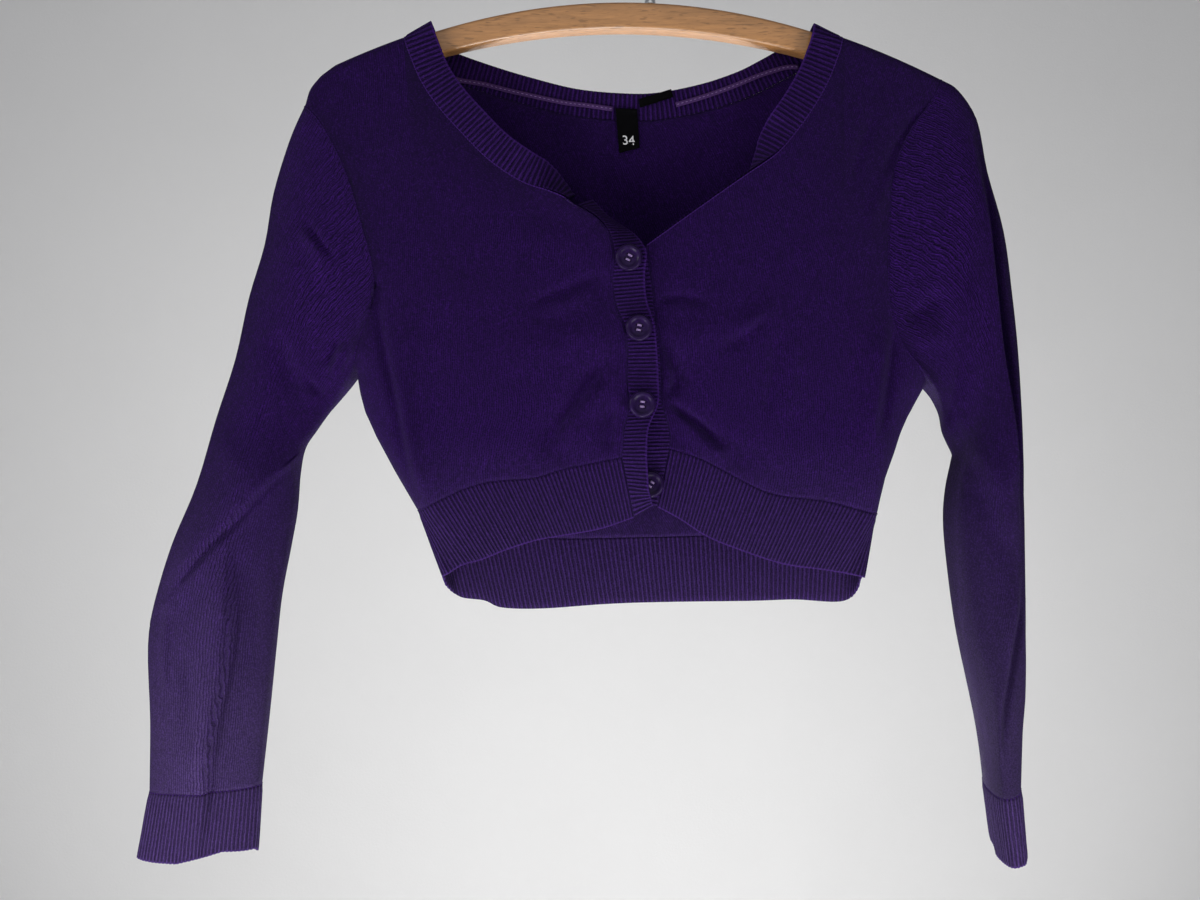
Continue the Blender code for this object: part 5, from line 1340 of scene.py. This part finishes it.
def tape(name, rows):
    path = spline(rows, 8)
    run = unit(np.gradient(path, axis=0))
    up = np.stack([-run[:, 1], run[:, 0]], -1) * TAPE_WIDTH / 2
    share = np.linspace(-1, 1, TAPE_COLUMNS)[None, :, None]
    spots = path[:, None] + up[:, None] * share
    face = inside_back(spots, TAPE_LIFT + TAPE_THICKNESS)
    face[..., 1] += TAPE_CURL * np.abs(share[..., 0]) ** 3
    mesh = cloth_mesh(name, face, FORWARD)
    piece_of(name, mesh, tape_material(), "tape", [name], (TAPE_THICKNESS - WOVEN_PLAY) * MM)
    line = inside_back(path, TAPE_LIFT + TAPE_THICKNESS + WOVEN_PLAY)
    up = np.broadcast_to(FORWARD, line.shape)
    yarn = pale_thread_material()
    stitch_row(f"{name}_stitches", line, up, TAPE_STITCH_PITCH, TAPE_STITCH_SIZE, yarn, "tape")


# Buttons

def button_place(number, x, z, forward, yaw, pitch, turn):
    layer = UNDER_BACK if number == 4 else -OVER_FORWARD
    y = float(sheet_y(x, z, -1, (), layer)) - RIB_HEIGHT - SEAM_GAP - forward
    turned = Euler((math.radians(90 + pitch), math.radians(turn), math.radians(yaw))).to_matrix().to_4x4()
    return Matrix.Translation(Vector((x, y, z)) * MM) @ turned


def hole_spots():
    turns = [math.radians(45 + 90 * k) for k in range(4)]
    return [(BUTTON_HOLE_SPREAD * math.cos(turn), BUTTON_HOLE_SPREAD * math.sin(turn)) for turn in turns]


def button(number, row):
    """A four-hole button with a raised, rounded rim and a dished middle."""
    shape = bmesh.new()
    ring = [shape.verts.new((BUTTON_RADIUS * MM * r, 0, BUTTON_THICKNESS * MM * h)) for r, h in BUTTON_PROFILE]
    edges = [shape.edges.new(pair) for pair in zip(ring, ring[1:])]
    bmesh.ops.spin(
        shape, geom=ring + edges, cent=(0, 0, 0), axis=(0, 0, 1), angle=2 * math.pi, steps=BUTTON_STEPS,
        use_merge=True,
    )
    bmesh.ops.remove_doubles(shape, verts=shape.verts, dist=1e-6)
    bmesh.ops.recalc_face_normals(shape, faces=shape.faces)
    disc = in_scene("button_disc", mesh_from(shape, "button_disc"))
    shape = bmesh.new()
    for x, y in hole_spots():
        hole = BUTTON_HOLE_RADIUS * MM
        bmesh.ops.create_cone(
            shape, cap_ends=True, segments=BUTTON_HOLE_STEPS, radius1=hole, radius2=hole,
            depth=4 * BUTTON_THICKNESS * MM, matrix=Matrix.Translation((x * MM, y * MM, 0)),
        )
    cutter = in_scene("button_bores", mesh_from(shape, "button_bores"))
    cut = disc.modifiers.new("holes", "BOOLEAN")
    cut.object = cutter
    cut.operation = "DIFFERENCE"
    graph = bpy.context.evaluated_depsgraph_get()
    name = f"button_{number}"
    drilled = bpy.data.meshes.new_from_object(disc.evaluated_get(graph))
    drilled.name = name
    for helper in (disc, cutter):
        bpy.data.objects.remove(helper)
    drilled.transform(button_place(number, *row))
    piece = piece_of(name, drilled, button_material(), "button", [name])
    drilled.set_sharp_from_angle(angle=math.radians(50))
    return piece


def button_thread(number, row):
    """Two stitches through the holes of a button, each of two strands."""
    a, b, c, d = hole_spots()
    floor = BUTTON_PROFILE[0][1] * BUTTON_THICKNESS
    shape = bmesh.new()
    t = np.linspace(0, 1, 12)[:, None]
    for start, end in ((a, b), (d, c)):
        flat = np.array(start) + (np.array(end) - start) * t
        arch = floor + THREAD_LIFT * np.sin(np.pi * t) ** 0.6 - 1.2 * (1 - np.sin(np.pi * t)) ** 4
        path = np.column_stack([flat, arch])
        up = np.broadcast_to([0.0, 0.0, 1.0], path.shape)
        across = np.array([0.0, 1.0, 0.0]) if abs(end[0] - start[0]) > 1 else np.array([1.0, 0.0, 0.0])
        for offset in (-THREAD_APART, THREAD_APART):
            cord = cord_mesh("thread", path + across * offset, THREAD_RADIUS, LINKED_SIDES, up)
            shape.from_mesh(cord)
            bpy.data.meshes.remove(cord)
    name = f"button_{number}_thread"
    mesh = mesh_from(shape, name)
    mesh.transform(button_place(number, *row))
    return piece_of(name, mesh, pale_thread_material(), "button")


# Hanger

def bar_section(x):
    """The bar's outline at x: rounded along the top, a small chamfer along the bottom, and rounded ends."""
    reach = abs(2 * (x - BAR_RIGHT_END_X) / (BAR_LEFT_END_X - BAR_RIGHT_END_X) - 1)
    into_end = max(reach - BAR_ENDS_ROUND, 0) / (1 - BAR_ENDS_ROUND)
    end = math.sqrt(max(1 - into_end**2, BAR_ENDS_LEAST))
    height = (BAR_HEIGHT + (BAR_END_HEIGHT - BAR_HEIGHT) * reach**2) * end
    half = (BAR_THICKNESS + (BAR_END_THICKNESS - BAR_THICKNESS) * reach**2) / 2 * (0.35 + 0.65 * end)
    top = BAR_TOP_Z - (x - BAR_PEAK_X) ** 2 / (2 * BAR_RADIUS) - (1 - end) * height * 0.4
    bottom = top - height
    r, c = BAR_TOP_ROUND * end, BAR_BOTTOM_CHAMFER * end
    turns = np.linspace(0, math.pi / 2, BAR_ARC_STEPS)
    right = [(half - r + r * math.sin(a), top - r + r * math.cos(a)) for a in turns]
    right += [(half, bottom + c + 0.25 * end), (half - 0.1 * end, bottom + c)]
    right += [(half - c, bottom + 0.1 * end), (half - c - 0.25 * end, bottom)]
    ring = [(y, z) for y, z in right] + [(-y, z) for y, z in reversed(right)]
    return [(x, y, z) for y, z in [*ring, ring[0]]]


def hanger_bar():
    ends = 1 - (1 - BAR_ENDS_ROUND) * (1 - np.linspace(0, 1, 10)) ** 2
    shares = [*-ends[:0:-1], *np.linspace(-BAR_ENDS_ROUND, BAR_ENDS_ROUND, BAR_STEPS), *ends[1:]]
    stations = [BAR_RIGHT_END_X + (BAR_LEFT_END_X - BAR_RIGHT_END_X) * (share + 1) / 2 for share in shares]
    points = np.array([bar_section(x) for x in stations])
    mesh = cloth_mesh("hanger_bar", points, points - points[:, :-1].mean(1, keepdims=True), welded="filled")
    piece = piece_of("hanger_bar", mesh, beech_material(), "beech", ["hanger_bar"])
    mesh.set_sharp_from_angle(angle=math.radians(38))
    return piece


def bar_z_at_hook():
    return BAR_TOP_Z - BAR_PEAK_X**2 / (2 * BAR_RADIUS)


def hanger_hook():
    """A wire hook: a shank on the hook's line, a bend out to one side, and a loop open on the other."""
    centre_z = HOOK_WIRE_RADIUS - HOOK_LOOP_RADIUS
    foot = bar_z_at_hook() + COLLAR_HEIGHT + 2 * SEAM_GAP
    angles = np.radians(np.linspace(HOOK_NECK_ANGLE, HOOK_TIP_ANGLE, 20))
    loop = [(HOOK_LOOP_RADIUS * math.cos(a), centre_z + HOOK_LOOP_RADIUS * math.sin(a)) for a in angles]
    neck = [(x, centre_z - HOOK_LOOP_RADIUS + z) for x, z in HOOK_NECK]
    path = spline([(0, foot), (0, foot + HOOK_SHANK), *neck, *loop], HOOK_STEPS // 12)
    path = np.stack([path[:, 0], 0 * path[:, 0], path[:, 1]], -1)
    up = np.broadcast_to(FORWARD, path.shape)
    mesh = cord_mesh("hanger_hook", path, HOOK_WIRE_RADIUS, WIRE_SIDES, up)
    piece = piece_of("hanger_hook", mesh, steel_material(), "steel", ["hanger_hook"])
    mesh.set_sharp_from_angle(angle=math.radians(50))
    return piece


def hook_collar():
    """The turned metal collar where the hook enters the bar."""
    shape = bmesh.new()
    wide, high = COLLAR_RADIUS * MM, (bar_z_at_hook() + SEAM_GAP + COLLAR_HEIGHT / 2) * MM
    bmesh.ops.create_cone(
        shape, cap_ends=True, segments=COLLAR_STEPS, radius1=wide, radius2=wide * COLLAR_TAPER,
        depth=COLLAR_HEIGHT * MM, matrix=Matrix.Translation((0, 0, high)),
    )
    rims = [edge for edge in shape.edges if any(len(face.verts) > 4 for face in edge.link_faces)]
    bmesh.ops.bevel(
        shape, geom=rims, offset=COLLAR_BEVEL * MM, offset_type="OFFSET", affect="EDGES", segments=4, profile=0.5,
        material=-1,
    )
    mesh = mesh_from(shape, "hook_collar")
    piece = piece_of("hook_collar", mesh, steel_material(), "steel", ["hook_collar"])
    mesh.set_sharp_from_angle(angle=math.radians(40))
    return piece


# Materials

class Finish:
    """A material, with short ways to add nodes to it."""

    def __init__(self, name, roughness, metallic=0.0):
        self.material = bpy.data.materials.new(name)
        self.material.use_nodes = True
        self.tree = self.material.node_tree
        self.shader = self.tree.nodes["Principled BSDF"]
        self.fixed(Roughness=roughness, Metallic=metallic)

    def node(self, kind, inputs=None, **values):
        made = self.tree.nodes.new(kind)
        for key, value in values.items():
            setattr(made, key, value)
        for key, value in (inputs or {}).items():
            if isinstance(value, bpy.types.NodeSocket):
                self.tree.links.new(value, made.inputs[key])
            else:
                made.inputs[key].default_value = value
        return made

    def maths(self, operation, *values):
        return self.node("ShaderNodeMath", dict(enumerate(values)), operation=operation).outputs[0]

    def plus(self, a, b):
        return self.maths("ADD", a, b)

    def minus(self, a, b):
        return self.maths("SUBTRACT", a, b)

    def times(self, a, b):
        return self.maths("MULTIPLY", a, b)

    def over(self, a, b):
        return self.maths("DIVIDE", a, b)

    def uv(self):
        parts = self.node("ShaderNodeSeparateXYZ", {0: self.node("ShaderNodeTexCoord").outputs["UV"]})
        return parts.outputs["X"], parts.outputs["Y"]

    def noise(self, vector, scale, detail=3.0, roughness=0.5):
        sockets = {"Vector": vector, "Scale": scale, "Detail": detail, "Roughness": roughness}
        return self.node("ShaderNodeTexNoise", sockets).outputs["Fac"]

    def placed(self, scale=(1.0, 1.0, 1.0)):
        spot = self.node("ShaderNodeTexCoord").outputs["Object"]
        return self.node("ShaderNodeMapping", {"Vector": spot, "Scale": scale}).outputs["Vector"]

    def ranged(self, value, low, high, to_low=0.0, to_high=1.0):
        sockets = {"Value": value, "From Min": low, "From Max": high, "To Min": to_low, "To Max": to_high}
        return self.node("ShaderNodeMapRange", sockets).outputs["Result"]

    def mixed(self, share, first, second):
        ends = [value if isinstance(value, bpy.types.NodeSocket) else (*value, 1) for value in (first, second)]
        return self.node("ShaderNodeMix", {0: share, 6: ends[0], 7: ends[1]}, data_type="RGBA").outputs[2]

    def coloured(self, socket):
        self.tree.links.new(socket, self.shader.inputs["Base Color"])

    def bumped(self, height, distance):
        bump = self.node("ShaderNodeBump", {"Height": height, "Distance": distance, "Strength": 1.0})
        self.tree.links.new(bump.outputs["Normal"], self.shader.inputs["Normal"])

    def roughened(self, socket):
        self.tree.links.new(socket, self.shader.inputs["Roughness"])

    def fixed(self, **values):
        """Constants on the shader's own sockets, named with _ for a space."""
        for key, value in values.items():
            self.shader.inputs[key.replace("_", " ")].default_value = value

    def fuzzy(self, specular):
        tint = (*KNIT_SHEEN_TINT, 1)
        self.fixed(Sheen_Weight=KNIT_SHEEN, Sheen_Roughness=0.45, Sheen_Tint=tint, Specular_IOR_Level=specular)


def shade(colour, factor):
    return tuple(channel * factor for channel in colour)


def wandering_uv(finish):
    """The UV map, drifting a little from place to place, as knitted rows do."""
    drift = finish.times(finish.minus(finish.noise(finish.placed(), 140.0, 2.0), 0.5), STITCH_DRIFT)
    return tuple(finish.plus(value, drift) for value in finish.uv())


def stitches(finish, wale, course):
    """The height of plain knit: columns of V-shaped stitches, each of two slanting legs."""
    u, v = wandering_uv(finish)
    across = finish.maths("ABSOLUTE", finish.minus(finish.maths("FRACT", finish.over(u, wale)), 0.5))
    across = finish.times(across, 2.0)
    leg = finish.maths("ABSOLUTE", finish.minus(across, 0.5))
    leg = finish.minus(1.0, finish.maths("POWER", finish.times(leg, 2.0), 2.0))
    slanted = finish.plus(finish.over(v, course), finish.times(across, 0.8))
    loop = finish.maths("ABSOLUTE", finish.minus(finish.maths("FRACT", slanted), 0.5))
    loop = finish.minus(1.0, finish.maths("POWER", finish.times(loop, 2.0), 2.5))
    return finish.times(leg, finish.plus(0.6, finish.times(loop, 0.4)))


def with_low_painted_light(finish, colour, raised):
    """The knit's colour with painted light: a pale veil on the raised yarn, growing towards the hem and cuffs."""
    height = finish.node("ShaderNodeSeparateXYZ", {0: finish.placed()}).outputs["Z"]
    # Painted light: the pale colour's share grows towards the bottom, where the light is brighter
    low_light_share = finish.ranged(height, LOW_PAINTED_LIGHT_FROM, LOW_PAINTED_LIGHT_FULL, 0.0, LOW_PAINTED_LIGHT_SHARE)
    return finish.mixed(finish.times(low_light_share, raised), colour, LOW_PAINTED_LIGHT_COLOUR)


def knitted(name, colour, wale, course, edge_from=None):
    """Matt fine yarn with a little fuzz. edge_from, a rib's width in metres from the seam, sets its painted shade
    and highlights.
    """
    finish = Finish(name, KNIT_ROUGHNESS)
    height = stitches(finish, wale, course)
    spot = finish.placed()
    fuzz = finish.noise(spot, 900.0, 2.0, 0.6)
    slubs = finish.noise(spot, 330.0, 3.0, 0.6)
    flat = finish.node("ShaderNodeTexCoord").outputs["UV"]
    spin = finish.node("ShaderNodeMapping", {"Vector": flat, "Scale": (1.6 / wale, 0.16 / wale, 1.0)})
    strands = finish.noise(spin.outputs["Vector"], 1.0, 2.0, 0.5)
    patches = finish.ranged(finish.noise(spot, 26.0), 0.3, 0.7)
    u, v = wandering_uv(finish)
    column = finish.maths("COSINE", finish.times(finish.over(u, wale), 2 * math.pi))
    # Painted shade and highlight: the yarn darker in the hollows of the stitches and lighter on their crests
    yarn = finish.mixed(height, shade(colour, 0.12), shade(colour, 2.3))
    # Painted shade: the grooves between the columns of stitches darkened
    sunk = finish.ranged(column, -0.3, 0.85, 0.0, WALE_PAINTED_SHADE)
    yarn = finish.mixed(sunk, yarn, shade(colour, 0.1))
    # Where the painted pale light lands: on the fuzz, less in the sunk columns
    raised = finish.ranged(fuzz, 0.3, 0.6, 0.4, 1.0)
    raised = finish.times(raised, finish.minus(1.0, finish.times(sunk, 0.6)))
    toned = finish.mixed(finish.times(patches, 0.5), yarn, shade(colour, 0.82))
    mottled = finish.mixed(finish.times(finish.ranged(slubs, 0.62, 0.38), 0.55), toned, shade(colour, 0.4))
    mottled = finish.mixed(finish.times(finish.ranged(strands, 0.58, 0.4), 0.45), mottled, shade(colour, 0.35))
    speckled = finish.mixed(finish.times(finish.ranged(fuzz, 0.5, 0.75), 0.42), mottled, shade(colour, 3.2))
    if edge_from is not None:
        u, v = finish.uv()
        turned = finish.minus(finish.over(u, 2 * wale), 0.25)
        ridge = finish.maths("COSINE", finish.times(turned, 2 * math.pi))
        inside = finish.maths("GREATER_THAN", v, edge_from * 1.01)
        ridge = finish.times(ridge, finish.minus(1.0, finish.times(inside, 2.0)))
        # Painted shade in the rib valleys and a painted highlight on the ridges, the other way round on the inside
        valley = finish.ranged(ridge, 0.1, -0.9, 0.0, RIB_PAINTED_SHADE)
        speckled = finish.mixed(finish.ranged(ridge, 0.35, 1.0, 0.0, 0.35), speckled, shade(colour, 1.9))
        speckled = finish.mixed(valley, speckled, shade(colour, 0.15))
        raised = finish.times(raised, finish.minus(1.0, finish.times(valley, 0.6)))
        # Painted highlight along the rounded cast-off edge
        near = finish.maths("ABSOLUTE", finish.minus(v, edge_from))
        edge = finish.ranged(near, 0.0012, 0.0003)
        speckled = finish.mixed(finish.times(edge, 0.75), speckled, shade(colour, EDGE_PAINTED_HIGHLIGHT))
    finish.coloured(with_low_painted_light(finish, speckled, raised))
    finish.bumped(finish.plus(height, finish.times(fuzz, 0.5)), 0.00045)
    finish.fuzzy(0.06)
    return finish.material


@functools.cache
def knit_material():
    chosen = settings()
    return knitted("plain_knit", chosen.knit_colour, chosen.wale, chosen.course)


@functools.cache
def rib_material(width):
    chosen = settings()
    return knitted(f"rib_knit_{round(width * 1000)}", chosen.rib_colour, chosen.wale, chosen.course, width)


@functools.cache
def thread_material():
    finish = Finish("linking_yarn", 0.8)
    spot = finish.placed()
    colour = settings().rib_colour
    finish.coloured(finish.mixed(finish.noise(spot, 700.0), shade(colour, 1.0), shade(colour, 2.0)))
    finish.bumped(finish.noise(spot, 2400.0), 0.0001)
    finish.fuzzy(0.08)
    return finish.material


@functools.cache
def pale_thread_material():
    finish = Finish("tape_thread", 0.6)
    spot = finish.placed()
    finish.coloured(finish.mixed(finish.noise(spot, 900.0), (0.14, 0.085, 0.22), (0.22, 0.15, 0.32)))
    finish.bumped(finish.noise(spot, 3000.0), 0.00005)
    return finish.material


@functools.cache
def white_thread_material():
    finish = Finish("woven_figures", 0.7)
    u = finish.placed((1400.0, 1400.0, 1400.0))
    weave = finish.node("ShaderNodeTexWave", {"Vector": u, "Scale": 1.0}, bands_direction="Z").outputs["Fac"]
    finish.coloured(finish.mixed(weave, (0.50, 0.50, 0.52), (0.78, 0.78, 0.80)))
    finish.bumped(weave, 0.00006)
    return finish.material


@functools.cache
def tape_material():
    finish = Finish("mauve_tape", 0.75)
    u, v = finish.uv()
    colour = settings().tape_colour
    threads = ((u, 0.0006), (v, 0.0008))
    weave = finish.plus(*(finish.maths("PINGPONG", finish.over(way, pitch), 0.5) for way, pitch in threads))
    finish.coloured(finish.mixed(weave, shade(colour, 0.6), shade(colour, 1.4)))
    finish.bumped(weave, 0.0002)
    finish.fixed(Specular_IOR_Level=0.15)
    return finish.material


@functools.cache
def label_material():
    finish = Finish("black_woven_label", 0.62)
    u, v = finish.uv()
    colour = settings().label_colour
    twill = finish.maths("PINGPONG", finish.plus(finish.over(u, 0.0005), finish.over(v, 0.0005)), 0.5)
    finish.coloured(finish.mixed(finish.times(twill, 2.0), shade(colour, 0.6), shade(colour, 1.6)))
    finish.bumped(twill, 0.00012)
    finish.fixed(Specular_IOR_Level=0.03)
    return finish.material


@functools.cache
def button_material():
    finish = Finish("polished_button", 0.2)
    spot = finish.placed()
    colour = settings().button_colour
    cloud = finish.ranged(finish.noise(spot, 260.0, 4.0, 0.6), 0.35, 0.7)
    finish.coloured(finish.mixed(cloud, shade(colour, 0.75), shade(colour, 1.45)))
    scuffs = finish.noise(spot, 1500.0, 3.0, 0.6)
    finish.roughened(finish.ranged(scuffs, 0.3, 0.75, 0.24, 0.42))
    finish.bumped(scuffs, 0.00003)
    finish.fixed(Specular_IOR_Level=0.10, Coat_Weight=0.02, Coat_Roughness=0.12)
    return finish.material


@functools.cache
def beech_material():
    finish = Finish("lacquered_beech", 0.36)
    colour = settings().wood_colour
    grain = finish.noise(finish.placed((7.0, 60.0, 60.0)), 9.0, 5.0, 0.6)
    lines = finish.noise(finish.placed((12.0, 420.0, 420.0)), 2.0, 3.0, 0.55)
    flecks = finish.ranged(finish.noise(finish.placed((90.0, 700.0, 700.0)), 1.3, 1.0), 0.60, 0.68)
    base = finish.mixed(finish.ranged(grain, 0.3, 0.7), shade(colour, 0.78), shade(colour, 1.18))
    lined = finish.mixed(finish.times(finish.ranged(lines, 0.5, 0.75), 0.35), base, shade(colour, 0.6))
    finish.coloured(finish.mixed(finish.times(flecks, 0.6), lined, shade(colour, 0.42)))
    finish.roughened(finish.ranged(lines, 0.3, 0.7, 0.30, 0.46))
    finish.bumped(finish.minus(lines, flecks), 0.00006)
    finish.fixed(Coat_Weight=0.35, Coat_Roughness=0.18)
    return finish.material


@functools.cache
def steel_material():
    finish = Finish("bright_wire", 0.25, metallic=1.0)
    spot = finish.placed()
    scratches = finish.noise(finish.placed((400.0, 400.0, 60.0)), 4.0, 4.0, 0.6)
    finish.coloured(finish.mixed(finish.noise(spot, 120.0), (0.50, 0.50, 0.51), (0.66, 0.66, 0.67)))
    finish.roughened(finish.ranged(scratches, 0.3, 0.7, 0.16, 0.34))
    finish.bumped(scratches, 0.00002)
    return finish.material


@functools.cache
def wall_material():
    finish = Finish("pale_wall", 0.9)
    spot = finish.placed()
    finish.coloured(finish.mixed(finish.noise(spot, 3.0), (0.76, 0.755, 0.75), (0.80, 0.795, 0.79)))
    finish.bumped(finish.noise(spot, 160.0, 4.0, 0.6), 0.0004)
    return finish.material


# Stage

def stage_sheet(name, location, rotation):
    shape = bmesh.new()
    place = Matrix.Translation(location) @ Euler(rotation).to_matrix().to_4x4()
    bmesh.ops.create_grid(shape, x_segments=2, y_segments=2, size=STAGE_SIZE / 2, matrix=place)
    mesh = mesh_from(shape, name)
    mesh.materials.append(wall_material())
    in_scene(name, mesh)


def light(name, location, target, size, watts, cone):
    lamp = bpy.data.lights.new(name, "SPOT" if cone else "AREA")
    if cone:
        lamp.spot_size = math.radians(cone)
        lamp.spot_blend = SPOT_BLEND
        lamp.shadow_soft_size = size / 2
    else:
        lamp.shape = "DISK"
        lamp.size = size
    lamp.energy = watts
    piece = in_scene(name, lamp)
    piece.location = location
    piece.rotation_euler = (Vector(target) - Vector(location)).to_track_quat("-Z", "Y").to_euler()


def stage():
    stage_sheet("backdrop", (0, BACKDROP_Y, BACKDROP_Z), (math.radians(90), 0, 0))
    stage_sheet("far_backdrop", (0, FAR_BACKDROP_Y, BACKDROP_Z), (math.radians(-90), 0, 0))
    stage_sheet("floor", (0, 0, FLOOR_Z), (0, 0, 0))
    for row in LIGHTS:
        light(*row)
    world = bpy.data.worlds.new("soft_daylight")
    world.use_nodes = True
    sky = world.node_tree.nodes["Background"].inputs
    sky["Color"].default_value = WORLD_COLOUR
    sky["Strength"].default_value = WORLD_STRENGTH
    bpy.context.scene.world = world
    bpy.context.scene.view_settings.view_transform = "Standard"
    lens = bpy.data.cameras.new("camera")
    lens.lens = CAMERA_LENS
    lens.sensor_width = CAMERA_SENSOR
    lens.clip_end = 50
    camera = in_scene("camera", lens)
    camera.location = CAMERA_AT
    camera.rotation_euler = (math.radians(90), 0, 0)
    bpy.context.scene.camera = camera


# Add-on

class BoleroSettings(bpy.types.PropertyGroup):
    wall: FloatProperty(name="Knit wall", description="Thickness of the plain knit", default=0.0015, unit="LENGTH")
    rib_height: FloatProperty(
        name="Rib height", description="How far a rib stands up", default=0.0007, unit="LENGTH"
    )
    wale: FloatProperty(name="Wale", description="Width of one column of stitches", default=0.0016, unit="LENGTH")
    course: FloatProperty(name="Course", description="Height of one row of stitches", default=0.0012, unit="LENGTH")
    knit_colour: FloatVectorProperty(
        name="Knit colour", description="Yarn of the plain knit", default=(0.0165, 0.003, 0.057), subtype="COLOR"
    )
    rib_colour: FloatVectorProperty(
        name="Rib colour", description="Yarn of the ribs", default=(0.0215, 0.005, 0.069), subtype="COLOR"
    )
    button_colour: FloatVectorProperty(
        name="Button colour", description="Polished plastic of the buttons", default=(0.011, 0.0034, 0.031),
        subtype="COLOR",
    )
    tape_colour: FloatVectorProperty(
        name="Tape colour", description="Neck tapes", default=(0.05, 0.019, 0.095), subtype="COLOR"
    )
    label_colour: FloatVectorProperty(
        name="Label colour", description="Woven labels", default=(0.0012, 0.0012, 0.0016), subtype="COLOR"
    )
    wood_colour: FloatVectorProperty(
        name="Wood colour", description="Lacquered beech of the hanger", default=(0.35, 0.165, 0.056),
        subtype="COLOR",
    )


def settings():
    return bpy.context.scene.bolero


class BOLERO_OT_hanger(bpy.types.Operator):
    """Make the wooden bar, the wire hook and its collar"""

    bl_idname = "bolero.hanger"
    bl_label = "Hanger"

    def execute(self, _context):
        hanger_bar()
        hanger_hook()
        hook_collar()
        return {"FINISHED"}


class BOLERO_OT_body(bpy.types.Operator):
    """Make the back and the two fronts"""

    bl_idname = "bolero.body"
    bl_label = "Back and fronts"

    def execute(self, _context):
        knit_panel("back", back_panel())
        for side in SLEEVES:
            knit_panel(f"front_{side}", front_panel(side))
        return {"FINISHED"}


class BOLERO_OT_sleeves(bpy.types.Operator):
    """Make the sleeves with their cuffs, armhole seams and linking"""

    bl_idname = "bolero.sleeves"
    bl_label = "Sleeves and cuffs"

    def execute(self, _context):
        for side, end in (("right", RIGHT_CUFF_END), ("left", LEFT_CUFF_END)):
            knit_sleeve(side)
            cuff(side, end)
            armhole_seam(side)
            cuff_links(side)
        return {"FINISHED"}


class BOLERO_OT_ribs(bpy.types.Operator):
    """Make the hem ribs, the front bands and the neck band"""

    bl_idname = "bolero.ribs"
    bl_label = "Hem, front and neck ribs"

    def execute(self, _context):
        hem_rib("hem_rib_front_right", front_panel("right"), RIGHT_HEM_BOTTOM, HEM_PITCH)
        hem_rib("hem_rib_front_left", front_panel("left"), LEFT_HEM_BOTTOM, HEM_PITCH)
        hem_rib("hem_rib_back", back_panel(), BACK_HEM_BOTTOM, BACK_HEM_PITCH)
        front_band("buttonhole_band", front_panel("right"), BUTTONHOLE_BAND, RIGHT_HEM_BOTTOM)
        front_band("button_band", front_panel("left"), BUTTON_BAND, LEFT_HEM_BOTTOM)
        neck_band()
        neck_links()
        panel_seams("back", back_panel())
        for side in SLEEVES:
            panel_seams(f"front_{side}", front_panel(side))
        return {"FINISHED"}


class BOLERO_OT_buttons(bpy.types.Operator):
    """Make the four buttons and their thread"""

    bl_idname = "bolero.buttons"
    bl_label = "Buttons"

    def execute(self, _context):
        for number, row in enumerate(BUTTONS, 1):
            button(number, row)
            button_thread(number, row)
        return {"FINISHED"}


class BOLERO_OT_labels(bpy.types.Operator):
    """Make the labels and the neck tapes"""

    bl_idname = "bolero.labels"
    bl_label = "Labels and tapes"

    def execute(self, _context):
        label("size_label", SIZE_LABEL, SIZE_LABEL_LIFT)
        label("blank_label", BLANK_LABEL, BLANK_LABEL_LIFT)
        figures()
        tape("neck_tape_right", RIGHT_TAPE)
        tape("neck_tape_left", LEFT_TAPE)
        return {"FINISHED"}


class BOLERO_OT_cuts(bpy.types.Operator):
    """Look up the pieces sewn to each knitted piece"""

    bl_idname = "bolero.cuts"
    bl_label = "Cut sizes"

    def execute(self, _context):
        declare_sheets()
        return {"FINISHED"}


class BOLERO_OT_stage(bpy.types.Operator):
    """Make the backdrop, the floor, the lights and the camera"""

    bl_idname = "bolero.stage"
    bl_label = "Stage"

    def execute(self, _context):
        stage()
        return {"FINISHED"}


OPERATORS = [
    BOLERO_OT_hanger,
    BOLERO_OT_body,
    BOLERO_OT_sleeves,
    BOLERO_OT_ribs,
    BOLERO_OT_buttons,
    BOLERO_OT_labels,
    BOLERO_OT_cuts,
    BOLERO_OT_stage,
]


class BOLERO_PT_panel(bpy.types.Panel):
    bl_idname = "BOLERO_PT_panel"
    bl_label = "Cropped cardigan bolero"
    bl_space_type = "VIEW_3D"
    bl_region_type = "UI"
    bl_category = "Bolero"

    def draw(self, context):
        for key in BoleroSettings.__annotations__:
            self.layout.prop(context.scene.bolero, key)
        for operator in OPERATORS:
            self.layout.operator(operator.bl_idname)


CLASSES = [BoleroSettings, *OPERATORS, BOLERO_PT_panel]


def register():
    for made in CLASSES:
        bpy.utils.register_class(made)
    bpy.types.Scene.bolero = PointerProperty(type=BoleroSettings)


def unregister():
    del bpy.types.Scene.bolero
    for made in reversed(CLASSES):
        bpy.utils.unregister_class(made)


def main():
    register()
    for operator in OPERATORS:
        getattr(bpy.ops.bolero, operator.bl_idname.split(".")[1])()
    bpy.context.view_layer.update()


if __name__ == "__main__":
    main()
